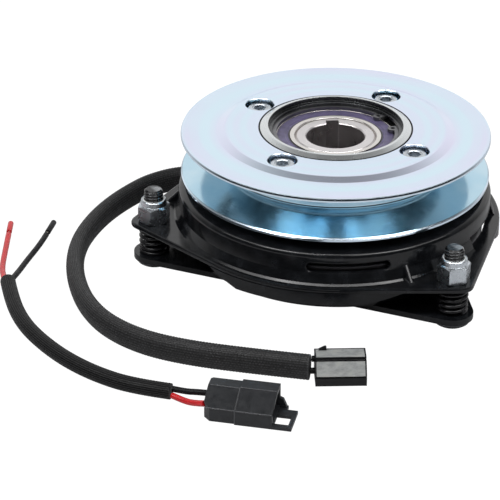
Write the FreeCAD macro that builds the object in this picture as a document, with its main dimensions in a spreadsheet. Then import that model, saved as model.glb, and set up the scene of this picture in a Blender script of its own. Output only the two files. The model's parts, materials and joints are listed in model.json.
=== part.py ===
"""Electric PTO clutch with its lead and adapter harness, modelled standing on its three bolt heads.

Frame: millimetres, +Z up along the bore axis towards the pulley, Z = 0 at the underside of the bolt heads.
Every sub-part is an object of one parametric document whose sizes are cells of the sheet "sizes".
"""
import FreeCAD
import Part
import Sketcher
import math
import os

V = FreeCAD.Vector
doc = FreeCAD.newDocument("pto_clutch")
sheet = doc.addObject("Spreadsheet::Sheet", "sizes")

DRIVING = {
    # shaft, hub and bearings
    "bore_radius": 14.2875,
    "keyway_width": 6.35,
    "keyway_depth": 3.2,
    "hub_bottom": 0.0,
    "hub_top": 64.7,
    "hub_radius": 20.0,
    "hub_collar_radius": 26.0,
    "hub_spacer_radius": 22.6,
    "rotor_seat_radius": 24.0,
    "bearing_outer_radius": 31.0,
    "bearing_width": 12.0,
    "race_inner_shoulder": 22.6,
    "race_outer_shoulder": 28.8,
    "ball_radius": 3.3,
    "field_bearing_bottom": 8.0,
    "pulley_bearing_bottom": 53.1,
    # mounting plate and studs
    "stud_circle": 90.2,
    "stud_radius": 4.76,
    "stud_top": 40.7,
    "head_radius": 9.3,
    "head_height": 3.5,
    "plate_gauge": 3.2,
    "lobe_radius": 10.3,
    # field shell and coil
    "shell_radius": 69.5,
    "shell_top": 25.5,
    "shell_wall": 3.5,
    "shell_inner_wall": 35.0,
    "coil_inner": 40.0,
    "coil_outer": 61.0,
    # rotor and armature
    "rotor_radius": 74.0,
    "rotor_wall": 3.2,
    "rotor_skirt_bottom": 18.6,
    "rotor_disc_bottom": 27.0,
    "rotor_face": 31.5,
    "air_gap": 0.45,
    "armature_radius": 73.4,
    "armature_inner": 34.0,
    "armature_gauge": 4.25,
    # brake plate
    "sheet_gauge": 2.6,
    "ear_underside": 21.1,
    "flange_radius": 82.5,
    "ear_reach": 94.5,
    "ear_corner": 7.0,
    "drum_radius": 77.5,
    "drum_top": 39.7,
    "drum_mouth": 62.0,
    "skirt_bottom": 14.9,
    "pad_gauge": 1.0,
    # pulley
    "pulley_radius": 76.2,
    "pulley_bottom": 45.2,
    "pulley_top": 67.7,
    "rim_gauge": 1.9,
    "groove_root": 57.0,
    "groove_half_angle": 18.0,
    "web_underside": 43.0,
    "web_top": 69.1,
    "step_inner": 54.8,
    "step_outer": 58.3,
    "carrier_radius": 37.4,
    "mouth_radius": 33.1,
    "lip_rise": 1.5,
    "screw_circle": 45.7,
    "screw_head": 5.95,
    "screw_shank": 3.97,
    "screw_recess": 7.2,
    # nuts and springs
    "nut_flats": 14.29,
    "nut_height": 11.9,
    "coil_spring_radius": 6.65,
    "coil_spring_wire": 1.9,
    # harness
    "lead_half_width": 4.5,
    "lead_half_height": 6.5,
    "adapter_radius": 3.8,
    "wire_radius": 1.45,
}


class Size:
    """A number together with the spreadsheet expression that it comes from."""

    def __init__(self, value, text):
        self.value = float(value)
        self.text = text

    def _join(self, other, sign, value):
        return Size(value, "(%s %s %s)" % (self.text, sign, size(other).text))

    def __add__(self, other):
        return self._join(other, "+", self.value + size(other).value)

    def __sub__(self, other):
        return self._join(other, "-", self.value - size(other).value)

    def __mul__(self, other):
        return self._join(other, "*", self.value * size(other).value)

    def __truediv__(self, other):
        return self._join(other, "/", self.value / size(other).value)

    def __neg__(self):
        return Size(-self.value, "(0 - %s)" % self.text)


def size(value):
    """Any plain number or Size as a Size."""
    if isinstance(value, Size):
        return value
    return Size(value, "%.6g" % value if value >= 0 else "(0 - %.6g)" % -value)


def cos(degrees):
    return Size(math.cos(math.radians(size(degrees).value)), "cos(%s * 1 deg)" % size(degrees).text)


def sin(degrees):
    return Size(math.sin(math.radians(size(degrees).value)), "sin(%s * 1 deg)" % size(degrees).text)


for row, (alias, number) in enumerate(DRIVING.items(), start=1):
    sheet.set("A%d" % row, str(number))
    sheet.setAlias("A%d" % row, alias)
doc.recompute()
D = {alias: Size(number, "sizes.%s" % alias) for alias, number in DRIVING.items()}

nodes = []


def node(obj, name):
    """Mark an object as a sub-part, which is written to parts/NAME.step."""
    obj.Label = name
    nodes.append(obj)
    return obj


def bind(obj, **properties):
    """Set sizes of an object and tie each one to its expression."""
    for name, value in properties.items():
        setattr(obj, name, size(value).value)
        obj.setExpression(name, size(value).text)
    return obj


def turning(yaw=0, roll=0, pitch=0):
    """The rotation that rolls about X, pitches about Y and then yaws about Z, in degrees."""
    yawed = FreeCAD.Rotation(V(0, 0, 1), yaw)
    pitched = FreeCAD.Rotation(V(0, 1, 0), pitch)
    return yawed * pitched * FreeCAD.Rotation(V(1, 0, 0), roll)


def move(obj, x=0, y=0, z=0, **turns):
    """Place an object: turned about its own origin, then moved, with the move bound."""
    obj.Placement = FreeCAD.Placement(V(size(x).value, size(y).value, size(z).value), turning(**turns))
    for axis, value in (("x", x), ("y", y), ("z", z)):
        if isinstance(value, Size):
            obj.setExpression("Placement.Base." + axis, value.text)
    return obj


# ---------------------------------------------------------------- primitives and booleans


def cylinder(name, radius, height, x=0, y=0, z=0, **turns):
    part = bind(doc.addObject("Part::Cylinder", name), Radius=radius, Height=height)
    return move(part, x, y, z, **turns)


def block(name, length, width, height, x=0, y=0, z=0, **turns):
    """A box centred on its length and width, standing on its base."""
    part = bind(doc.addObject("Part::Box", name), Length=length, Width=width, Height=height)
    ahead = turning(**turns).multVec(V(1, 0, 0))
    aside = turning(**turns).multVec(V(0, 1, 0))
    corner = []
    for centre, forward, sideways in ((x, ahead.x, aside.x), (y, ahead.y, aside.y), (z, ahead.z, aside.z)):
        corner.append(size(centre) - size(length) * (forward / 2) - size(width) * (sideways / 2))
    return move(part, *corner, **turns)


def fuse(name, *parts):
    joined = doc.addObject("Part::MultiFuse", name)
    joined.Shapes = list(parts)
    joined.Refine = True
    return joined


def cut(name, base, *tools):
    """Base minus the tools, with a check that something was taken away."""
    made = doc.addObject("Part::Cut", name)
    made.Base = base
    made.Tool = tools[0] if len(tools) == 1 else group(name + "_tools", tools)
    doc.recompute()
    if made.Shape.Volume >= base.Shape.Volume - 1e-6:
        raise ValueError("nothing was cut from " + name)
    return made


def group(name, parts):
    """Separate solids held as one object."""
    made = doc.addObject("Part::Compound", name)
    made.Links = list(parts)
    return made


def ring(name, inner, outer, bottom, top):
    """A plain ring about the bore axis."""
    body = cylinder(name + "_outside", outer, top - bottom, z=bottom)
    hole = cylinder(name + "_inside", inner, top - bottom + 2, z=bottom - 1)
    return cut(name, body, hole)


def around(maker, count, start=0.0):
    """Call maker(index, angle) for evenly spaced angles and return what it makes."""
    return [maker(index, start + 360.0 * index / count) for index in range(count)]


def polar(radius, angle):
    """Bound x and y of a point at a radius and a fixed angle in degrees."""
    return size(radius) * cos(angle), size(radius) * sin(angle)


# ---------------------------------------------------------------- sketched bodies


def plane(body, role):
    return next(item for item in body.Origin.OriginFeatures if item.Role == role)


def outline(body, name, role, points, offset=None):
    """A closed polygon sketch whose corners are dimensioned from the sketch's origin."""
    sketch = body.newObject("Sketcher::SketchObject", name)
    sketch.AttachmentSupport = [(plane(body, role), "")]
    sketch.MapMode = "FlatFace"
    if offset is not None:
        sketch.AttachmentOffset = FreeCAD.Placement(V(0, 0, size(offset).value), FreeCAD.Rotation())
        sketch.setExpression("AttachmentOffset.Base.z", size(offset).text)
    corners = [(size(across), size(up)) for across, up in points]
    for index, (across, up) in enumerate(corners):
        next_across, next_up = corners[(index + 1) % len(corners)]
        line = Part.LineSegment(V(across.value, up.value, 0), V(next_across.value, next_up.value, 0))
        sketch.addGeometry(line, False)
    for index, (across, up) in enumerate(corners):
        following = (index + 1) % len(corners)
        sketch.addConstraint(Sketcher.Constraint("Coincident", index, 2, following, 1))
        for kind, value in (("DistanceX", across), ("DistanceY", up)):
            number = sketch.addConstraint(Sketcher.Constraint(kind, -1, 1, index, 1, value.value))
            sketch.setExpression("Constraints[%d]" % number, value.text)
    return sketch


def turned(name, points):
    """A body turned about its own Z axis from a profile of (radius, height) corners."""
    body = doc.addObject("PartDesign::Body", name)
    sketch = outline(body, name + "_profile", "XZ_Plane", points)
    feature = body.newObject("PartDesign::Revolution", name + "_turn")
    feature.Profile = sketch
    feature.ReferenceAxis = (sketch, ["V_Axis"])
    feature.Angle = 360.0
    body.Tip = feature
    doc.recompute()
    return body


def pressed(name, points, bottom, gauge):
    """A body of flat plate: a polygon padded upward from a height."""
    body = doc.addObject("PartDesign::Body", name)
    sketch = outline(body, name + "_outline", "XY_Plane", points, offset=bottom)
    feature = body.newObject("PartDesign::Pad", name + "_pad")
    feature.Profile = sketch
    bind(feature, Length=gauge)
    body.Tip = feature
    doc.recompute()
    return body


KEY_TURN = 4.0
NUT_TURN = {"left": 79.3, "right": 11.7, "rear": 25.0}
STUD_ANGLES = {"left": 187.2, "right": 307.2, "rear": 67.2}


# ---------------------------------------------------------------- field: plate, studs, shell, coil


def make_mounting_plate():
    """Triangular steel plate with a rounded lobe under each stud."""
    corners = []
    lobes = []
    holes = []
    for side, angle in STUD_ANGLES.items():
        x, y = polar(D["stud_circle"], angle)
        for turn in (-60, 60):
            shift_x, shift_y = polar(D["lobe_radius"], angle + turn)
            corners.append((angle + turn, (x + shift_x, y + shift_y)))
        lobes.append(cylinder("lobe_" + side, D["lobe_radius"], D["plate_gauge"], x, y, D["head_height"]))
        holes.append(cylinder("stud_hole_" + side, D["stud_radius"] + 0.1, 10, x, y, D["head_height"] - 2))
    ordered = []
    for angle in sorted(STUD_ANGLES.values()):
        ordered += [point for key, point in corners if abs(key - angle) == 60]
    blank = fuse("plate_blank", pressed("plate_middle", ordered, D["head_height"], D["plate_gauge"]), *lobes)
    holes.append(cylinder("hub_opening", 31.0, 10, z=D["head_height"] - 2))
    holes += around(lambda i, a: cylinder("plate_rivet_hole_%d" % i, 2.5, 10, *polar(50.5, a), z=2), 3, 67.2)
    slot_x, slot_y = polar(46.0, 127.2)
    holes.append(block("anti_rotation_slot", 22.0, 10.0, 10, slot_x, slot_y, 2, yaw=37.2))
    node(cut("mounting_plate", blank, *holes), "mounting_plate")


def make_stud_bolts():
    """Round-headed studs that stand up through the plate."""
    studs = []
    for side, angle in STUD_ANGLES.items():
        x, y = polar(D["stud_circle"], angle)
        profile = [
            (0.001, 0), (D["head_radius"] - 3.6, 0), (D["head_radius"] - 1.3, D["head_height"] * 0.25),
            (D["head_radius"], D["head_height"] * 0.72), (D["head_radius"], D["head_height"]),
            (D["stud_radius"], D["head_height"]), (D["stud_radius"], D["stud_top"] - 1.2),
            (D["stud_radius"] - 1.0, D["stud_top"]), (0.001, D["stud_top"]),
        ]
        studs.append(move(turned("stud_" + side, profile), x, y))
    node(group("stud_bolts", studs), "stud_bolts")


def make_field_shell():
    """Annular steel cup, open at the top, that carries the coil and sits on the mounting plate."""
    floor = D["head_height"] + D["plate_gauge"]
    blank = turned("shell_blank", [
        (D["bearing_outer_radius"] - 2.5, floor), (D["shell_radius"], floor),
        (D["shell_radius"], D["shell_top"]),
        (D["shell_radius"] - D["shell_wall"], D["shell_top"]),
        (D["shell_radius"] - D["shell_wall"], floor + 3.5),
        (D["shell_inner_wall"], floor + 3.5), (D["shell_inner_wall"], D["shell_top"]),
        (D["bearing_outer_radius"], D["shell_top"]), (D["bearing_outer_radius"], D["field_bearing_bottom"]),
        (D["bearing_outer_radius"] - 2.5, D["field_bearing_bottom"]),
    ])
    holes = around(lambda i, a: cylinder("shell_rivet_hole_%d" % i, 2.5, 8, *polar(50.5, a), z=5), 3, 67.2)
    start_x, start_y = polar(60.0, LEAD_EXIT_ANGLE)
    holes.append(cylinder("grommet_hole", 3.6, 14, start_x, start_y, LEAD_EXIT_HEIGHT,
                          yaw=LEAD_EXIT_ANGLE, pitch=90))
    node(cut("field_shell", blank, *holes), "field_shell")
    rivets = []
    for index, angle in enumerate((67.2, 187.2, 307.2)):
        x, y = polar(50.5, angle)
        rivets.append(move(turned("shell_rivet_body_%d" % index, [
            (0.001, -1.6), (3.4, -1.6), (4.3, -0.5), (4.3, 0), (2.45, 0), (2.45, 6.7), (4.3, 6.7), (3.6, 8.0),
            (0.001, 8.0)]), x, y, D["head_height"]))
    node(group("shell_rivets", rivets), "shell_rivets")


def make_coil():
    """Bobbin, copper winding and the resin ring that closes the cup."""
    floor = D["head_height"] + D["plate_gauge"] + 3.5
    low = floor + 1.6
    high = D["shell_top"] - 2.6
    bobbin = turned("coil_bobbin", [
        (D["coil_inner"] - 1.5, low), (D["coil_outer"], low), (D["coil_outer"], low + 1.4),
        (D["coil_inner"], low + 1.4), (D["coil_inner"], high - 1.4), (D["coil_outer"], high - 1.4),
        (D["coil_outer"], high), (D["coil_inner"] - 1.5, high)])
    node(bobbin, "coil_bobbin")
    node(ring("coil_winding", D["coil_inner"] + 0.1, D["coil_outer"] - 0.6, low + 1.5, high - 1.5),
         "coil_winding")
    node(ring("coil_resin", D["shell_inner_wall"], D["shell_radius"] - D["shell_wall"], high,
              D["shell_top"] - 0.4),
         "coil_resin")


# ---------------------------------------------------------------- bearings


def make_bearing(name, bottom):
    """Sealed deep-groove ball bearing, 40 x 62 x 12: two races, balls, cage and two seals."""
    pitch = (D["race_inner_shoulder"] + D["race_outer_shoulder"]) / 2
    top = bottom + D["bearing_width"]
    middle = bottom + D["bearing_width"] / 2
    for kind, inner, outer in (("inner_race", D["hub_radius"], D["race_inner_shoulder"]),
                               ("outer_race", D["race_outer_shoulder"], D["bearing_outer_radius"])):
        groove = bind(doc.addObject("Part::Torus", name + "_groove_" + kind), Radius1=pitch,
                      Radius2=D["ball_radius"] + 0.05)
        move(groove, z=middle)
        blank = ring(name + "_blank_" + kind, inner, outer, bottom, top)
        node(cut("%s_%s" % (name, kind), blank, groove), "%s_%s" % (name, kind))
    balls = []
    pockets = []
    for index in range(14):
        x, y = polar(pitch, 360.0 * index / 14)
        ball = bind(doc.addObject("Part::Sphere", "%s_ball_%d" % (name, index)), Radius=D["ball_radius"])
        balls.append(move(ball, x, y, middle))
        near_x, near_y = polar(pitch - 3, 360.0 * index / 14)
        pockets.append(cylinder("%s_pocket_%d" % (name, index), D["ball_radius"] + 0.1, 6, near_x, near_y,
                                middle,
                                yaw=360.0 * index / 14, pitch=90))
    node(group(name + "_balls", balls), name + "_balls")
    band = ring(name + "_cage_band", pitch - 0.6, pitch + 0.6, middle - 4.2, middle + 4.2)
    node(cut(name + "_cage", band, *pockets), name + "_cage")
    seals = []
    for side, low in (("low", bottom + 0.25), ("high", top - 1.15)):
        seals.append(ring("%s_seal_%s" % (name, side), D["race_inner_shoulder"] + 0.12,
                          D["race_outer_shoulder"] - 0.02, low, low + 0.9))
    node(group(name + "_seals", seals), name + "_seals")


# ---------------------------------------------------------------- hub, rotor and armature


def make_hub():
    """Keyed hub that turns with the engine shaft."""
    blank = turned("hub_blank", [
        (D["bore_radius"], D["hub_bottom"]), (D["hub_radius"] - 1, D["hub_bottom"]),
        (D["hub_radius"], D["hub_bottom"] + 1),
        (D["hub_radius"], D["field_bearing_bottom"] + D["bearing_width"]),
        (D["hub_collar_radius"], D["field_bearing_bottom"] + D["bearing_width"]),
        (D["hub_collar_radius"], D["rotor_disc_bottom"]), (D["rotor_seat_radius"], D["rotor_disc_bottom"]),
        (D["rotor_seat_radius"], D["rotor_face"]), (D["hub_spacer_radius"], D["rotor_face"]),
        (D["hub_spacer_radius"], D["pulley_bearing_bottom"]), (D["hub_radius"], D["pulley_bearing_bottom"]),
        (D["hub_radius"], D["hub_top"] - 1.2), (D["hub_radius"] - 1.2, D["hub_top"]),
        (D["bore_radius"] + 0.5, D["hub_top"]), (D["bore_radius"], D["hub_top"] - 0.5),
    ])
    reach = D["bore_radius"] + D["keyway_depth"]
    x, y = polar(reach / 2, 90 + KEY_TURN)
    keyway = block("keyway", D["keyway_width"], reach, 70, x, y, -1, yaw=KEY_TURN)
    node(cut("hub", blank, keyway), "hub")


def make_rotor():
    """Friction disc with a skirt round the coil shell and two rings of slots that part its poles."""
    blank = turned("rotor_blank", [
        (D["rotor_seat_radius"], D["rotor_disc_bottom"]),
        (D["rotor_radius"] - D["rotor_wall"], D["rotor_disc_bottom"]),
        (D["rotor_radius"] - D["rotor_wall"], D["rotor_skirt_bottom"]),
        (D["rotor_radius"], D["rotor_skirt_bottom"]),
        (D["rotor_radius"], D["rotor_face"] - 0.8), (D["rotor_radius"] - 0.8, D["rotor_face"]),
        (D["rotor_seat_radius"], D["rotor_face"]),
    ])
    slots = []
    for radius, width, bridge in ((42.0, 2.6, 12.0), (60.0, 2.6, 9.0)):
        rings = ring("slot_ring_%d" % radius, radius, radius + width, D["rotor_disc_bottom"] - 1,
                     D["rotor_face"] + 1)
        bars = [block("slot_bar_%d_%d" % (radius, index), 150, bridge, 10, 0, 0, D["rotor_disc_bottom"] - 2,
                      yaw=60.0 * index) for index in range(3)]
        slots.append(cut("slots_%d" % radius, rings, *bars))
    node(cut("rotor", blank, *slots), "rotor")


def make_armature():
    """Flat steel ring that the coil pulls against the rotor, with its rivets and spacers."""
    low = D["rotor_face"] + D["air_gap"]
    high = low + D["armature_gauge"]
    blank = ring("armature_blank", D["armature_inner"], D["armature_radius"], low, high)
    holes = around(lambda i, a: cylinder("armature_hole_%d" % i, 3.0, 8, *polar(48.0, a - 13), z=low - 1), 3)
    slots = around(lambda i, a: block("armature_slot_%d" % i, 12, 2.6, 8, *polar(51.0, a + 60), low - 1,
                                      yaw=a + 150), 3)
    node(cut("armature", blank, *holes, *slots), "armature")
    rivets = []
    for index in range(3):
        x, y = polar(48.0, 120.0 * index - 13)
        reach = D["web_underside"] - high
        rivets.append(move(turned("armature_rivet_%d" % index, [
            (0.001, -D["armature_gauge"] + 0.3), (3.0, -D["armature_gauge"] + 0.3), (3.0, 0), (5.0, 0),
            (5.0, reach - 1.4), (2.9, reach - 1.4), (2.9, reach - 0.6), (4.4, reach - 0.6),
            (3.9, reach - 0.15), (0.001, reach - 0.15)]), x, y, high))
    node(group("armature_rivets", rivets), "armature_rivets")


def make_leaf_springs():
    """Three flat straps that hang the armature from the pulley, and the rivets at the pulley end."""
    low = D["web_underside"] - 1.4
    straps = []
    rivets = []
    for index in range(3):
        angle = 120.0 * index
        x, y = polar(48.0 * math.cos(math.radians(13)), angle)
        strap = block("strap_blank_%d" % index, 12, 34, 0.8, x, y, low, yaw=angle)
        ends = [cylinder("strap_hole_%d_%d" % (index, turn), 3.05, 3, *polar(48.0, angle + turn), z=low - 1)
                for turn in (-13, 13)]
        straps.append(cut("strap_%d" % index, strap, *ends))
        rivet_x, rivet_y = polar(48.0, angle + 13)
        rivets.append(move(turned("strap_rivet_%d" % index, [
            (0.001, -1.5), (3.6, -1.5), (4.6, -0.6), (4.6, 0), (3.0, 0), (3.0, 0.8), (4.8, 0.8), (4.8, 1.4),
            (3.0, 1.4), (3.0, 7.0), (0.001, 7.0)]), rivet_x, rivet_y, low))
    node(group("leaf_springs", straps), "leaf_springs")
    node(group("leaf_spring_rivets", rivets), "leaf_spring_rivets")


# ---------------------------------------------------------------- brake plate, nuts and springs


def ear_outline():
    """Corners of one ear, pointing along +X and tangent to the flange and to the ear's round tip."""
    slope = math.degrees(math.acos((DRIVING["flange_radius"] - DRIVING["ear_corner"]) / DRIVING["ear_reach"]))
    wide_x, wide_y = polar(D["flange_radius"], slope)
    tip_x, tip_y = polar(D["ear_corner"], slope)
    return [(wide_x, -wide_y), (D["ear_reach"] + tip_x, -tip_y), (D["ear_reach"] + tip_x, tip_y),
            (wide_x, wide_y)]


def make_brake_plate():
    """Pressed drum with an inward flange above the armature and three ears for the studs."""
    low = D["ear_underside"]
    wall = D["drum_radius"] - 2.4
    drum = turned("drum_turned", [
        (wall, low), (D["flange_radius"], low), (D["flange_radius"], low + D["sheet_gauge"]),
        (D["drum_radius"] + 0.9, low + D["sheet_gauge"]), (D["drum_radius"], low + D["sheet_gauge"] + 0.9),
        (D["drum_radius"], D["drum_top"] - 3.0), (D["drum_radius"] - 0.4, D["drum_top"] - 1.5),
        (D["drum_radius"] - 1.5, D["drum_top"] - 0.4), (D["drum_radius"] - 3.0, D["drum_top"]),
        (D["drum_mouth"] + 0.8, D["drum_top"]), (D["drum_mouth"], D["drum_top"] - 0.8),
        (D["drum_mouth"], D["drum_top"] - 2.4), (wall - 1.2, D["drum_top"] - 2.4),
        (wall, D["drum_top"] - 3.6),
    ])
    pieces = [drum]
    holes = []
    for side, angle in STUD_ANGLES.items():
        ear = pressed("ear_" + side, ear_outline(), low, D["sheet_gauge"])
        pieces.append(move(ear, yaw=angle))
        tip_x, tip_y = polar(D["ear_reach"], angle)
        pieces.append(cylinder("ear_tip_" + side, D["ear_corner"], D["sheet_gauge"], tip_x, tip_y, low))
        rib_x, rib_y = polar(D["drum_radius"] + 1.5, angle - 13)
        pieces.append(move(pressed("rib_" + side, [(-1.8, 0), (6.0, 0), (-1.8, 8.0)], -1.2, 2.4),
                           rib_x, rib_y, low + D["sheet_gauge"] - 0.2, roll=90, yaw=angle - 13))
        stud_x, stud_y = polar(D["stud_circle"], angle)
        holes.append(cylinder("ear_hole_" + side, D["stud_radius"] + 0.25, 8, stud_x, stud_y, low - 2))
        holes.append(gauge_slot("gauge_slot_" + side, angle - 33.8))
        if side != "left":
            holes.append(side_window("side_window_" + side, angle + 34.5))
    blank = fuse("brake_plate_blank", *pieces)
    inside = cylinder("drum_room", wall, D["drum_top"] - 3.6 - low, z=low - 0.001)
    node(cut("brake_plate", blank, inside, *holes), "brake_plate")
    make_brake_skirts()
    make_brake_pads()


def gauge_slot(name, angle):
    """Cutter for a round-ended slot through which the air gap is measured."""
    half = D["drum_radius"] * 0.225
    inner_x, inner_y = polar(D["drum_radius"] - 8, angle)
    pieces = []
    for end in (-1, 1):
        x = inner_x - half * sin(angle) * end
        y = inner_y + half * cos(angle) * end
        pieces.append(cylinder("%s_end_%d" % (name, end), 2.3, 16, x, y, 31.9, yaw=angle, pitch=90))
    x, y = polar(D["drum_radius"], angle)
    pieces.append(block(name + "_middle", 16, half * 2, 4.6, x, y, 29.6, yaw=angle))
    return fuse(name, *pieces)


def side_window(name, angle):
    """Cutter for the wide window in the drum wall between two ears, down at the plate's level."""
    x, y = polar(D["drum_radius"] - 6, angle)
    return block(name, 26, 40, 6.4, x, y, D["ear_underside"] + D["sheet_gauge"], yaw=angle)


def make_brake_skirts():
    """Curved skirts welded under the flange between the ears, each end sloping up into the flange."""
    skirts = []
    spans = ((222.0, 302.0, 17.0, 32.0), (342.0, 60.0, 17.0, 17.0), (148.0, 178.0, 12.0, 12.0))
    for index, (start, end, first_slope, last_slope) in enumerate(spans):
        arc = bind(doc.addObject("Part::Cylinder", "skirt_outside_%d" % index), Radius=D["flange_radius"],
                   Height=D["ear_underside"] - D["skirt_bottom"], Angle=(end - start) % 360.0)
        move(arc, z=D["skirt_bottom"], yaw=start)
        room = cylinder("skirt_inside_%d" % index, D["flange_radius"] - 2.4, 12, z=D["skirt_bottom"] - 1)
        trims = []
        for angle, heading, slope in ((start, start + 90, first_slope), (end, end - 90, last_slope)):
            x, y = polar(D["flange_radius"], angle)
            wedge = pressed("skirt_slope_%d_%d" % (index, angle), [
                (-6, -1), (slope * 7.0 / 6.0, -1), (0, 5.9), (-6, 5.9)], -12, 24)
            trims.append(move(wedge, x, y, D["skirt_bottom"], yaw=heading, roll=90))
        skirts.append(cut("skirt_%d" % index, arc, room, *trims))
    node(group("brake_skirts", skirts), "brake_skirts")


def make_brake_pads():
    """Three friction segments bonded under the drum's top flange."""
    top = D["drum_top"] - 2.4
    pads = []
    for index in range(3):
        sector = bind(doc.addObject("Part::Cylinder", "pad_outside_%d" % index),
                      Radius=D["drum_radius"] - 4.5,
                      Height=D["pad_gauge"], Angle=70)
        move(sector, z=top - D["pad_gauge"], yaw=120.0 * index + 30)
        room = cylinder("pad_inside_%d" % index, D["drum_mouth"] + 1, 4, z=top - D["pad_gauge"] - 1)
        pads.append(cut("pad_%d" % index, sector, room))
    node(group("brake_pads", pads), "brake_pads")


def make_nuts():
    """Hexagon lock nuts with a nylon collar, one on each stud, resting on the ears."""
    seat = D["ear_underside"] + D["sheet_gauge"]
    for side, angle in STUD_ANGLES.items():
        x, y = polar(D["stud_circle"], angle)
        prism = bind(doc.addObject("Part::Prism", "hexagon_" + side),
                     Circumradius=D["nut_flats"] / 2 / cos(30),
                     Height=D["nut_height"])
        prism.Polygon = 6
        dome = turned("nut_turned_" + side, [
            (D["stud_radius"] + 0.05, 0), (7.1, 0), (8.4, 1.1), (8.4, 7.7), (7.1, 8.6), (6.4, 9.0),
            (6.2, D["nut_height"] - 0.5), (5.7, D["nut_height"]), (D["stud_radius"] + 0.75, D["nut_height"]),
            (D["stud_radius"] + 0.75, 8.9), (D["stud_radius"] + 0.05, 8.9)])
        nut = doc.addObject("Part::Common", "adjusting_nut_" + side)
        nut.Base = prism
        nut.Tool = dome
        move(nut, x, y, seat, yaw=NUT_TURN[side])
        node(nut, "adjusting_nut_" + side)
        collar = ring("nut_collar_" + side, D["stud_radius"] + 0.05, D["stud_radius"] + 0.75, size(9.0),
                      D["nut_height"] - 0.3)
        node(move(collar, x, y, seat), "nut_collar_" + side)


def make_springs():
    """Open coil springs round the studs, between the mounting plate and the ears."""
    low = D["head_height"] + D["plate_gauge"] + D["coil_spring_wire"] / 2 + 0.05
    rise = D["ear_underside"] - D["head_height"] - D["plate_gauge"] - D["coil_spring_wire"] - 0.1
    springs = []
    for side, angle in STUD_ANGLES.items():
        x, y = polar(D["stud_circle"], angle)
        helix = bind(doc.addObject("Part::Helix", "helix_" + side), Pitch=rise / 4.5, Height=rise,
                     Radius=D["coil_spring_radius"])
        section = bind(doc.addObject("Part::Circle", "wire_" + side), Radius=D["coil_spring_wire"] / 2)
        section.Placement = FreeCAD.Placement(V(DRIVING["coil_spring_radius"], 0, 0),
                                              FreeCAD.Rotation(V(1, 0, 0), 90))
        sweep = doc.addObject("Part::Sweep", "spring_" + side)
        sweep.Sections = [section]
        sweep.Spine = (helix, [])
        sweep.Solid = True
        sweep.Frenet = True
        springs.append(move(sweep, x, y, low, yaw=angle))
    node(group("brake_springs", springs), "brake_springs")


# ---------------------------------------------------------------- pulley


def make_pulley():
    """Belt pulley turned as two flanges that meet at the root of the V groove."""
    radius = D["pulley_radius"]
    middle = (D["pulley_bottom"] + D["pulley_top"]) / 2
    slope = sin(D["groove_half_angle"]) / cos(D["groove_half_angle"])
    drop = (radius - D["groove_root"]) * slope
    lower = turned("lower_turned", [
        (D["carrier_radius"], D["web_underside"]), (D["drum_mouth"], D["web_underside"]),
        (D["drum_mouth"] + 2.2, D["pulley_bottom"]), (radius - 0.5, D["pulley_bottom"]),
        (radius, D["pulley_bottom"] + 0.5), (radius, D["pulley_bottom"] + D["rim_gauge"] - 0.3),
        (radius - 0.4, D["pulley_bottom"] + D["rim_gauge"]),
        (D["groove_root"], D["pulley_bottom"] + D["rim_gauge"] + drop),
        (D["groove_root"], middle), (D["carrier_radius"], middle)])
    upper = turned("upper_turned", [
        (D["carrier_radius"], middle), (D["groove_root"], middle),
        (D["groove_root"], D["pulley_top"] - D["rim_gauge"] - drop),
        (radius - 0.4, D["pulley_top"] - D["rim_gauge"]),
        (radius, D["pulley_top"] - D["rim_gauge"] + 0.3), (radius, D["pulley_top"] - 0.5),
        (radius - 0.5, D["pulley_top"]), (D["step_outer"], D["pulley_top"] - 0.2),
        (D["step_inner"], D["web_top"]),
        (D["carrier_radius"], D["web_top"])])
    screw_top = D["pulley_top"]
    upper_holes = []
    lower_holes = []
    screws = []
    for index in range(4):
        angle = 54.5 + 90.0 * index
        x, y = polar(D["screw_circle"], angle)
        upper_holes.append(cylinder("recess_%d" % index, D["screw_recess"], 12, x, y, screw_top - 7.95))
        upper_holes.append(cylinder("clearance_%d" % index, D["screw_shank"] + 0.2, 20, x, y, middle - 1))
        lower_holes.append(cylinder("tapped_%d" % index, D["screw_shank"] + 0.02, 16, x, y, screw_top - 23.1))
        screws.append(make_screw(index, x, y, screw_top))
    lower_holes += around(lambda i, a: cylinder("rivet_hole_%d" % i, 3.02, 8, *polar(48.0, a + 13),
                                                z=D["web_underside"] - 1), 3)
    node(cut("pulley_upper_flange", upper, *upper_holes), "pulley_upper_flange")
    node(cut("pulley_lower_flange", lower, *lower_holes), "pulley_lower_flange")
    node(group("pulley_screws", screws), "pulley_screws")


def make_screw(index, x, y, top):
    """Socket-head cap screw whose head top is at a height."""
    body = turned("screw_body_%d" % index, [
        (0.001, -23), (D["screw_shank"] - 0.8, -23), (D["screw_shank"], -22.2), (D["screw_shank"], -7.94),
        (D["screw_head"], -7.94), (D["screw_head"], -0.5), (D["screw_head"] - 0.5, 0), (0.001, 0)])
    socket = bind(doc.addObject("Part::Prism", "socket_%d" % index), Circumradius=3.55, Height=5)
    socket.Polygon = 6
    move(socket, z=-4)
    return move(cut("screw_%d" % index, body, socket), x, y, top)


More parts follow.
